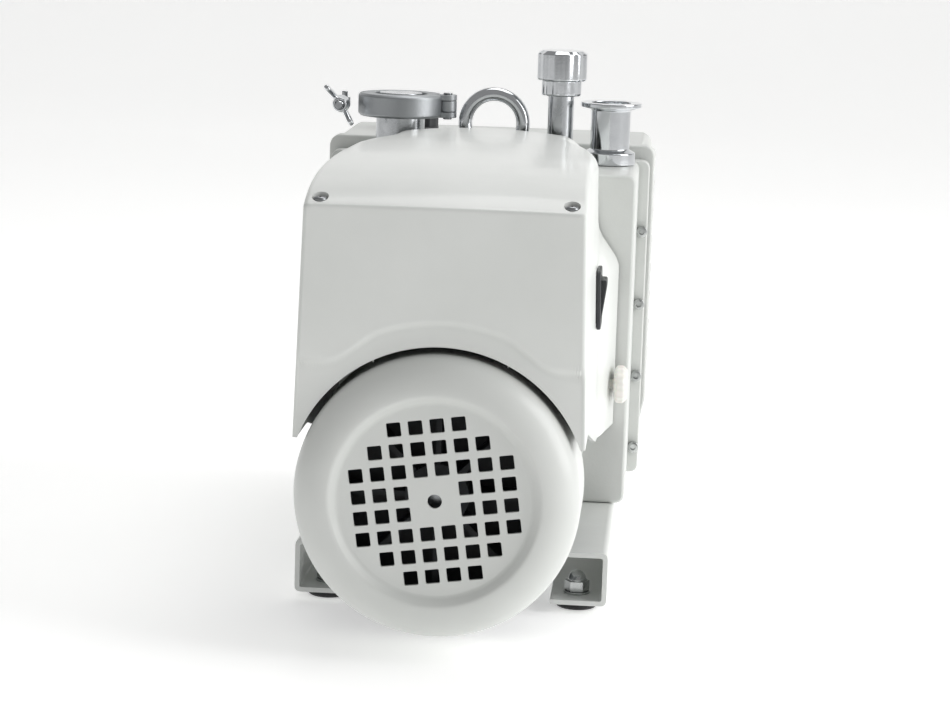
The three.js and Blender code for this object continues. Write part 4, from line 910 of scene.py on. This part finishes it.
fill_middle = centre_of("oil_fill_plug")
glass_middle = centre_of("sight_glass_bezel")
case_flange = plate(case_outline(case_high.x, False), "Y", case_low.y, case_low.y + 12, edge=1.5)
case_hollow = block((-95, 95), (case_low.y - 5, case_high.y - 7), (case_low.z + 9, case_high.z - 8), 6.0)
glass_hole = turned(bar(SIGHT_HOLE, case_high.y - 12, case_high.y + 3), "Y", (0, 0, glass_middle.z), 48)
fill_at = (fill_middle.x, fill_middle.y, 0)
fill_hole = turned(bar(FILL_HOLE, case_high.z - 14, case_high.z + 3), "Z", fill_at, 48)
piece("oil_case_casting", [plate(case_outline(WALL_X, True), "Y", case_low.y + 1, case_high.y,
                                 edge=3.0, steps=5)],
      cast_enamel, stands_for=["oil_case"], joins=[case_flange],
      cuts=[case_hollow, glass_hole, fill_hole], angle=40.0)

# %% [markdown]
# The block and the case are drawn together by socket-head screws through both flanges. A head is a
# knurled cylinder with a socket sunk in it: one turned profile, with fine flutes for the knurl.

# %% Flange screws
SCREW_HEAD = 3.7
SCREW_X = block_high.x - SCREW_HEAD + 0.2
SCREW_LEVELS = [109.0, 60.0, 11.0, -38.0]


def hexagon(across, at=(0.0, 0.0)):
    radius = across / math.sqrt(3)
    return circle(radius, *at, count=6)


def socket_screw(at, towards):
    """A socket head on the Y axis; towards is -1 for a head that faces the front."""
    x, y, z = at
    head = [(0, 0.0), (SCREW_HEAD, 0.0), (SCREW_HEAD, 4.6), (SCREW_HEAD - 0.5, 5.0), (1.9, 5.0), (1.9, 2.5),
            (0, 2.5)]
    profile = [(r, y + towards * h) for r, h in head]
    return turned(profile, "Y", (x, 0, z), 36, flutes=18, depth=0.12)


front_heads = [socket_screw((side * SCREW_X, block_high.y - FLANGE_DEPTH, z), -1)
               for z in SCREW_LEVELS for side in (-1, 1)]
piece("flange_screws", front_heads, turned_metal("zinc_plated_screw", "#C7C9C8", "#A3A6A5", 0.25, (0, 0, 0)),
      angle=50)

# %% [markdown]
# ## Base
# The base is folded from three-millimetre sheet: a flat deck, two sides and two lips turned inwards.
# A folded edge has an outside radius of about the sheet's thickness. The deck is cut away at the front
# so that the motor can hang between the sides. Each rubber foot is held by a domed nut on its lip.

# %% Base
base_low, base_high = span("base_frame")
BASE_SHEET = 3.0
LIP = 34.0
half, bottom, top = base_high.x, base_low.z, base_high.z
channel = [(-half, bottom), (-half + LIP, bottom), (-half + LIP, bottom + BASE_SHEET),
           (-half + BASE_SHEET, bottom + BASE_SHEET), (-half + BASE_SHEET, top - BASE_SHEET),
           (half - BASE_SHEET, top - BASE_SHEET), (half - BASE_SHEET, bottom + BASE_SHEET),
           (half - LIP, bottom + BASE_SHEET), (half - LIP, bottom), (half, bottom), (half, top), (-half, top)]


def folded(outline):
    """Outside bends get the larger radius; the sheet's own cut edges stay nearly sharp."""
    points = []
    for i, point in enumerate(outline):
        before, after = outline[i - 1], outline[(i + 1) % len(outline)]
        short = min(math.dist(point, before), math.dist(point, after)) < BASE_SHEET + 0.5
        outside = abs(abs(point[0]) - half) < 0.1
        reach = 0.8 if short else (3.6 if outside else 1.4)
        trio = [before, point, after]
        points += soften(trio, reach, 4, closed=False)[1:-1]
    return points


notch_half = math.sqrt(75.0 ** 2 - top ** 2) + 4.0
notch = block((-notch_half, notch_half), (base_low.y - 20, block_low.y), (top - 5, top + 5), 0.4, "Z")
piece("base_channel", [plate(folded(channel), "Y", base_low.y, base_high.y, edge=0.25, steps=2)], base_coat,
      stands_for=["base_frame"], cuts=[notch])

# %% Feet and their nuts
nut_steel = turned_metal("zinc_plated_nut", "#C9CBCA", "#A0A3A2", 0.22, (0, 0, 0))
domes = []
for name in ("foot_front_left", "foot_front_right", "foot_rear_left", "foot_rear_right"):
    foot_low, foot_high = span(name)
    middle = (foot_low + foot_high) / 2
    radius = (foot_high.x - foot_low.x) / 2
    lift = foot_low.z
    profile = [(0, lift), (radius - 1.5, lift), (radius, lift + 1.5), (radius - 0.6, foot_high.z),
               (0, foot_high.z)]
    piece(name + "_rubber", [turned(soften(profile, 0.8), "Z", (middle.x, middle.y, 0), 48)], foot_rubber,
          stands_for=[name])
    seat = bottom + BASE_SHEET
    domes.append(turned(soften(bar(8, seat, seat + 1.4), 0.3), "Z", (middle.x, middle.y, 0), 40))
    domes.append(plate(hexagon(13.0, (middle.x, middle.y)), "Z", seat + 1.4, seat + 8.0, edge=0.5))
    dome = [(0, seat + 7.5), (5.8, seat + 7.5), (5.6, seat + 9.0), (4.6, seat + 11.6), (2.6, seat + 13.3),
            (0, seat + 14.0)]
    domes.append(turned(soften(dome, 1.2), "Z", (middle.x, middle.y, 0), 40))
piece("foot_nuts", domes, nut_steel, angle=40)

# %% [markdown]
# ## Switch, inlet and knobs
# The cover's sides lean by about a degree and a half, so what is mounted on them leans too. Each group
# is drawn facing straight out and then turned by that angle. A mould gives the switch's frame rounded
# corners; the rocker is a wedge that stands out at its upper end when it is off.

# %% Groups on the cover's sides
SIDE_LEAN = math.atan(SIDE_SLOPE)
RIGHT, LEFT = 1, -1


def on_side(shell, node, side):
    middle = centre_of(node)
    reach = HALF_TOP + (SIDE_BASE - middle.z) * SIDE_SLOPE
    return moved(shell, -side * SIDE_LEAN, "Y", (side * reach, middle.y, middle.z))


def side_plate(half_y, half_z, corner, x_from, x_to, edge, centre=(0.0, 0.0)):
    u, v = centre
    outline = rectangle(u - half_y, v - half_z, u + half_y, v + half_z)
    return plate(soften(outline, corner), "X", min(x_from, x_to), max(x_from, x_to), edge)


# %% Switch
bezel_flange = on_side(side_plate(15, 18, 3, 0.3, 3.0, 0.9), "switch_bezel", RIGHT)
bezel_body = on_side(side_plate(11.5, 14.5, 1, -18, 1.5, 0.3), "switch_bezel", RIGHT)
bezel_window = on_side(side_plate(9.5, 13.6, 0.8, -12, 6, 0.2), "switch_bezel", RIGHT)
piece("switch_frame", [bezel_flange], black_abs, stands_for=["switch_bezel"],
      joins=[bezel_body], cuts=[bezel_window])
rocker_outline = [(-8, -4), (1.2, -12.6), (3.2, -12.6), (6.5, 7.6), (6.5, 11.8), (1, 12), (-8, 4)]
rocker = plate(soften(rocker_outline, 1.4), "Y", -9, 9, edge=0.8)
piece("switch_rocker_cap", [on_side(rocker, "switch_bezel", RIGHT)], black_abs, body="switch_rocker",
      stands_for=["switch_rocker"])

# %% Power inlet
inlet_flange = on_side(side_plate(24, 13.5, 3, -0.3, -3.2, 0.8), "power_inlet", LEFT)
inlet_body = on_side(side_plate(14.5, 11, 2, -1.5, 22, 0.3), "power_inlet", LEFT)
inlet_mouth = on_side(side_plate(12.2, 8.4, 3, -6, 17, 0.2), "power_inlet", LEFT)
piece("inlet_shell", [inlet_flange], black_abs, stands_for=["power_inlet"],
      joins=[inlet_body], cuts=[inlet_mouth])
blades = [on_side(side_plate(1, 2, 0.3, 3, 17.5, 0.3, centre), "power_inlet", LEFT)
          for centre in ((-7, -1.5), (7, -1.5), (0, 2.5))]
piece("inlet_blades", blades, turned_metal("brass_nickelled", "#C9C4B4", "#A8A291", 0.2, (0, 0, 0)))
inlet_screws = [on_side(turned([(0, -3.1), (2.8, -3.1), (2.2, -3.9), (0, -4.2)], "X", (0, y, 0), 32),
                        "power_inlet", LEFT) for y in (-19.5, 19.5)]
piece("inlet_screws", inlet_screws, turned_metal("zinc_plated_pin", "#C7C9C8", "#9FA2A1", 0.25, (0, 0, 0)))

# %% Cover screws and knobs
for side in ("left", "right"):
    screw_low, screw_high = span("cover_screw_" + side)
    centre = (screw_low + screw_high) / 2
    top = screw_high.z
    head = [(0, top - 2.4), (4, top - 2.4), (4, top - 1.2), (3.2, top - 0.3), (0, top)]
    slots = [block((centre.x - a, centre.x + a), (centre.y - b, centre.y + b), (top - 1.3, top + 2), 0.2, "Z")
             for a, b in ((2.3, 0.45), (0.45, 2.3))]
    piece("cover_screw_head_" + side, [turned(soften(head, 0.5), "Z", (centre.x, centre.y, 0), 40)],
          turned_metal("screw_head_" + side, "#A9ABAD", "#7E8183", 0.3, (centre.x, centre.y, 0)),
          stands_for=["cover_screw_" + side], cuts=slots)

KNOB = [(0, -8), (3, -8), (3, 0.5), (9, 0.5), (12, 2.5), (12, 6.5), (9.5, 9), (0, 9.5)]
for name, side in (("cover_knob_right", RIGHT), ("cover_knob_left", LEFT)):
    knob_low, knob_high = span(name)
    middle = (knob_low + knob_high) / 2
    seat = knob_low.x + 8 if side == RIGHT else knob_high.x - 8
    profile = [(r, side * h) for r, h in soften(KNOB, 0.9)]
    piece(name + "_moulding", [turned(profile, "X", (seat, middle.y, middle.z), 96, flutes=16, depth=0.5)],
          white_nylon, body=name, stands_for=[name], angle=50)

# %% [markdown]
# ## Ports
# The two ports are KF25 fittings: a flange 40 mm across with a 15-degree slope behind its rim, so that
# a clamp can wedge two of them together over a centring ring. The intake is closed by a blank plate.
# All are turned parts, so each profile is the drawing of the part itself.

# %% Ports
SLOPE_15 = math.tan(math.radians(15))
KF_RADIUS, KF_SEAT, KF_RIM = 20.0, 13.1, 3.0
DECK = block_high.z


def port_profile(height, neck, bore_radius, foot, foot_height):
    rim_base = height - KF_RIM
    return [(bore_radius, 0.3), (foot, 0.3), (foot, foot_height), (neck, foot_height + 2),
            (neck, rim_base - (KF_RADIUS - neck) * SLOPE_15), (KF_RADIUS, rim_base), (KF_RADIUS, height),
            (KF_SEAT, height), (KF_SEAT, height - KF_RIM), (bore_radius, height - KF_RIM)]


def upright(node, profile, finish, body="root", name=None, flutes=0, depth=0.0, rounding=0.6):
    """A turned part on its own upright axis, at the middle of its node."""
    middle = centre_of(node)
    colours = {"chrome": ("#DADCDE", "#C4C7CA", 0.08), "stainless": ("#C9CBCD", "#AEB1B4", 0.2)}[finish]
    metal = turned_metal(finish + "_" + node, *colours, (middle.x, middle.y, 0))
    shell = turned(soften(profile, rounding), "Z", (middle.x, middle.y, 0), 96, flutes=flutes, depth=depth)
    return piece(name or node + "_turning", [shell], metal, body=body, stands_for=[node], angle=40)


def raised(profile, by):
    return [(r, h + by) for r, h in profile]


upright("intake_port", raised(port_profile(32.3, 16, 12.5, 20, 6), DECK), "stainless")
upright("exhaust_port", raised(port_profile(40.6, 13, 11, 17, 8), DECK), "chrome")
JOINT = DECK + 32.3 + 1.9
centring = [(11, -4.1), (12.8, -4.1), (12.8, -1.6), (17.5, -1.6), (18.5, 0), (17.5, 1.6), (12.8, 1.6),
            (12.8, 4.1), (11, 4.1)]
upright("centring_ring", raised(centring, JOINT), "stainless", rounding=0.3)
blank = [(0, 4.9), (0, 7.9), (14, 7.9), (14, 6.5), (20, 4.9), (20, 1.9), (13.1, 1.9), (13.1, 4.9)]
upright("intake_blank", raised(blank, JOINT), "stainless", rounding=0.4)

# %% Ballast valve and lifting eye
stem = [(0, 0.3), (12, 0.3), (12, 5), (8.5, 7), (8.5, 48.8), (0, 48.8)]
upright("ballast_stem", raised(stem, DECK), "stainless")
cap = [(0, 49.8), (8.8, 49.8), (8.8, 43.8), (12.2, 43.8), (13.2, 44.8), (13.2, 53.7), (15.5, 53.7),
       (16.5, 54.7), (16.5, 71.3), (13.5, 73.3), (0, 73.3)]
upright("ballast_cap", raised(cap, DECK), "chrome", body="ballast_cap", flutes=12, depth=0.8)
eye_low, eye_high = span("lifting_eye")
eye_middle = (eye_low + eye_high) / 2
WIRE = 4.5
EYE_RADIUS = (eye_high.x - eye_low.x) / 2 - WIRE
section = circle(WIRE, EYE_RADIUS, 0.0, 24)
eye_ring = turned(section, "Y", (eye_middle.x, eye_middle.y, eye_high.z - EYE_RADIUS - WIRE), 96)
eye_foot = turned(soften([(0, DECK + 0.3), (13, DECK + 0.3), (13, DECK + 3), (9.5, DECK + 5), (8, DECK + 8),
                          (0, DECK + 8)], 0.8), "Z", (eye_middle.x, eye_middle.y, 0), 72)
chrome_eye = turned_metal("chrome_lifting_eye", "#DADCDE", "#C0C3C6", 0.14,
                          (eye_middle.x, eye_middle.y, 0))
piece("lifting_eye_forging", [eye_ring], chrome_eye, stands_for=["lifting_eye"],
      joins=[eye_foot])

# %% [markdown]
# ## Intake clamp
# Two cast half rings are hinged on the right and drawn together on the left by a swing bolt with a
# wing nut. Inside runs a sloped groove, which wedges the two flanges as it closes. The rings are cut
# back round the hinge, so the lug of one half can turn inside the other.

# %% Clamp
clamp_x, clamp_y = intake_at.x, intake_at.y
CLAMP = (clamp_x, clamp_y, JOINT)
RING = [(17.5, -7.5), (26.5, -7.5), (28, -6), (28, 6), (26.5, 7.5), (17.5, 7.5), (17.5, 6.1), (20.4, 5.3),
        (20.4, -5.3), (17.5, -6.1)]
HINGE_X, BOLT_X, BOLT_Y = 31.0, -38.0, 6.0


def here(shell):
    return moved(shell, 0.0, "Z", CLAMP)


def rod(radius, low, high, at=(0, 0), count=40):
    """A round rod on an upright axis, in the clamp's own coordinates."""
    return here(turned(soften(bar(radius, low, high), 0.4), "Z", (at[0], at[1], 0), count))


relief = rod(6.3, -20, 20, (HINGE_X, 0))
gap_start = math.asin(0.3 / 17.5)
JAWS = [("clamp_jaw_rear", 1, [(-3.5, 3.5)]), ("clamp_jaw_front", -1, [(3.8, 7.5), (-7.5, -3.8)])]
for node, side, levels in JAWS:
    arc = (gap_start, math.pi - gap_start)
    ring = turned(soften(RING, 0.6), "Z", (0, 0, 0), 64, arc=arc)
    if side < 0:
        ring = moved(ring, math.pi, "Z")
    y_range = sorted((side * 1.0, side * 11.0))
    lug = block((-43, -23), y_range, (-7.5, 7.5), 1.0, "Z")
    slot_cut = block((-46, -33.5), (y_range[0] - 2, y_range[1] + 2), (-3.2, 3.2), 0.3, "Z")
    hollow = turned(bar(22, -20, 20), "Z", (0, 0, 0), 64)
    lug_piece = raw_object("lug", [here(lug)])
    combine(lug_piece, [here(hollow), here(slot_cut)], "DIFFERENCE")
    lug_shell = ([tuple((v.co - ORIGIN) / MM) for v in lug_piece.data.vertices],
                 [list(face.vertices) for face in lug_piece.data.polygons])
    bpy.data.objects.remove(lug_piece)
    piece(node + "_casting", [here(ring)], die_cast, stands_for=[node],
          cuts=[relief], joins=[lug_shell])
    knuckles = []
    for low_z, high_z in levels:
        knuckles.append(rod(6.0, low_z, high_z, (HINGE_X, 0)))
        bridge_y = sorted((side * 2.5, side * 5.8))
        knuckles.append(here(block((23.5, HINGE_X), bridge_y, (low_z, high_z), 0.5, "Z")))
    piece(node + "_knuckles", knuckles, die_cast)

pin = [(0, -8.7), (3, -8.7), (3, -7.6), (2, -7.6), (2, 7.6), (3, 7.6), (3, 8.7), (0, 8.7)]
pin_steel = turned_metal("steel_hinge_pin", "#B5B7B9", "#8E9193", 0.25, (clamp_x + HINGE_X, clamp_y, 0))
piece("clamp_pin", [here(turned(soften(pin, 0.3), "Z", (HINGE_X, 0, 0), 40))], pin_steel,
      stands_for=["clamp_hinge_pin"])

# %% [markdown]
# The bolt's thread has a pitch of one millimetre; rings of that pitch look the same from any distance.
# The nut's wings are cut from one outline and its mirror image, with the edges well rounded for the
# fingers.

# %% Swing bolt and wing nut
BOLT_END = -30.9
thread = [(0, BOLT_END), (2.0, BOLT_END)]
place = BOLT_END + 0.5
while place < -8:
    thread += [(2.1, place), (2.55, place + 0.5)]
    place += 1.0
thread += [(2.1, place), (2.6, place + 0.5), (2.6, 0), (0, 0)]
bolt_steel = turned_metal("steel_swing_bolt", "#B9BBBD", "#8F9294", 0.25,
                          (clamp_x + BOLT_X, clamp_y, JOINT), "Y")
shank = here(turned(thread, "Y", (BOLT_X, BOLT_Y, 0), 40))
eye = rod(3.8, -3.0, 3.0, (BOLT_X, BOLT_Y))
cross_pin = rod(2.0, -7.0, 7.0, (BOLT_X, BOLT_Y))
piece("swing_bolt", [shank, eye, cross_pin], bolt_steel, body="clamp_swing_bolt",
      stands_for=["clamp_swing_bolt"], angle=50)
WING = [(4.1, -19.4), (7, -19.4), (15, -27.9), (16, -31.9), (12, -32.9), (6, -25.4), (4.1, -25.4)]
WING_TURN = math.radians(54)
hub = turned(soften([(2.9, -17.9), (6, -17.9), (4.5, -26.9), (2.9, -26.9)], 0.6), "Y", (0, 0, 0), 48)
wings = []
for side in (1, -1):
    outline = [(side * (u if u > 5 else u - 0.8), v) for u, v in WING]
    wings.append(plate(soften(outline, 1.8), "Z", -1.5, 1.5, edge=1.0))
pivot = (clamp_x + BOLT_X, clamp_y + BOLT_Y, JOINT)
chrome_nut = turned_metal("chrome_wing_nut", "#D6D8DA", "#BDC0C3", 0.15, pivot, "Y")
piece("wing_nut", [moved(shell, WING_TURN, "Y", pivot) for shell in [hub] + wings], chrome_nut,
      body="clamp_wing_nut", stands_for=["clamp_wing_nut"], angle=45)

# %% [markdown]
# ## Oil case fittings
# The sight glass is a thick domed lens in a screwed-in ring. The filler is a black moulded plug with
# finger scallops, and the drain is a hexagon plug on a sealing washer.

# %% Sight glass
glass, glass_tree, glass_where = blank_material("borosilicate_glass")
haze = add(glass_tree, "TexNoise", {"Scale": per_mm(5), "Detail": 3.0}, {"Vector": glass_where})
film = add(glass_tree, "MapRange", {"To Min": 0.01, "To Max": 0.08}, {"Value": haze.outputs["Fac"]})
close_material(glass_tree, add(glass_tree, "BsdfPrincipled",
                               {"Base Color": linear("#E7ECEC"), "IOR": 1.47, "Transmission Weight": 1.0},
                               {"Roughness": film.outputs["Result"]}))
rear = case_high.y
ring_profile = [(14, 0.3), (22, 0.3), (22, 5), (19, 8), (15, 8), (14, 7)]
sight_at = (0, rear, glass_middle.z)
ring_metal = turned_metal("chrome_sight_ring", "#D8DADC", "#BFC2C5", 0.14, (0, 0, glass_middle.z), "Y")
piece("sight_ring", [turned(soften(ring_profile, 0.6), "Y", sight_at, 96)], ring_metal,
      stands_for=["sight_glass_bezel"])
lens_profile = [(0, 1), (13.7, 1), (13.7, 4.6), (11, 5.4), (7, 5.85), (0, 6)]
piece("sight_lens", [turned(soften(lens_profile, 0.5), "Y", sight_at, 64)], glass,
      stands_for=["sight_glass_lens"], angle=50)

# %% Plugs
drain_z = centre_of("oil_drain_plug").z
washer = turned(soften(bar(13, 0.3, 4.2), 0.6), "Y", (0, rear, drain_z), 64)
drain_hex = plate(soften(hexagon(22 * math.cos(math.pi / 6), (0, drain_z)), 0.8, 2), "Y", rear + 4, rear + 12,
                  edge=0.8)
drain_steel = turned_metal("zinc_plated_drain_plug", "#B4B6B8", "#8D9092", 0.28, (0, 0, drain_z), "Y")
piece("drain_plug", [washer, drain_hex], drain_steel, stands_for=["oil_drain_plug"])
SCALLOPS, SCALLOP, SCALLOP_REACH, GRIP = 6, 6.0, 21.0, 17.0


def scalloped(count=144):
    outline = []
    for k in range(count):
        a = 2 * math.pi * k / count
        off = (a + math.pi / SCALLOPS) % (2 * math.pi / SCALLOPS) - math.pi / SCALLOPS
        r = GRIP
        inside = SCALLOP ** 2 - (SCALLOP_REACH * math.sin(off)) ** 2
        if inside > 0:
            r = min(GRIP, SCALLOP_REACH * math.cos(off) - math.sqrt(inside))
        outline.append((fill_middle.x + r * math.cos(a), fill_middle.y + r * math.sin(a)))
    return outline


lid = case_high.z
spigot = turned(bar(12, lid - 14, lid + 1.5), "Z", fill_at, 64)
collar = turned(soften(bar(17, lid + 0.3, lid + 3.4), 0.5), "Z", fill_at, 96)
piece("fill_plug", [spigot, collar, plate(scalloped(), "Z", lid + 2.8, lid + 15, edge=1.4, steps=4)],
      black_abs, body="oil_fill_plug", stands_for=["oil_fill_plug"], angle=40)

# %% [markdown]
# ## Working parts
# The parts inside keep the meshes of the frame and get only a finish. Each turned part needs its own
# rings, about its own axis; the shaft line shares one axis.

# %% Finishes inside
shaft_steel = turned_metal("shaft_steel_ground", "#A9ABAD", "#8A8D8F", 0.2, (0, 0, 0), "Y")
bearing_steel = turned_metal("bearing_steel_polished", "#B9BBBD", "#9B9EA0", 0.12, (0, 0, 0), "Y")
rotor_steel = turned_metal("rotor_steel_ground", "#9C9EA0", "#7D8082", 0.25, (0, 0, -4), "Y")
INSIDE = [
    (frame_cast, "end_shield_fan_side end_shield_drive_side"),
    (die_cast, "coupling_motor_half coupling_pump_half"),
    (spider_rubber, "coupling_spider"),
    (laminations, "stator_core rotor_core"),
    (varnish_paper, "winding_fan_side winding_drive_side"),
    (bearing_steel, "bearing_fan_side bearing_drive_side"),
    (shaft_steel, "motor_shaft"),
    (rotor_steel, "pump_rotor"),
    (spring_steel, "exhaust_valve_plate"),
    (black_abs, "terminal_box"),
    (fan_plastic, "cooling_fan"),
    (seal_rubber, "shaft_seal"),
    (grey_iron, "high_vacuum_stator middle_plate low_vacuum_stator end_plate"),
    (gasket_sheet, "case_gasket"),
    (vane_composite, "high_vane_a high_vane_b low_vane_a low_vane_b"),
]
for material, names in INSIDE:
    for name in names.split():
        nodes[name].data.materials.clear()
        nodes[name].data.materials.append(material)
print(len(INSIDE), "finishes for the parts inside")
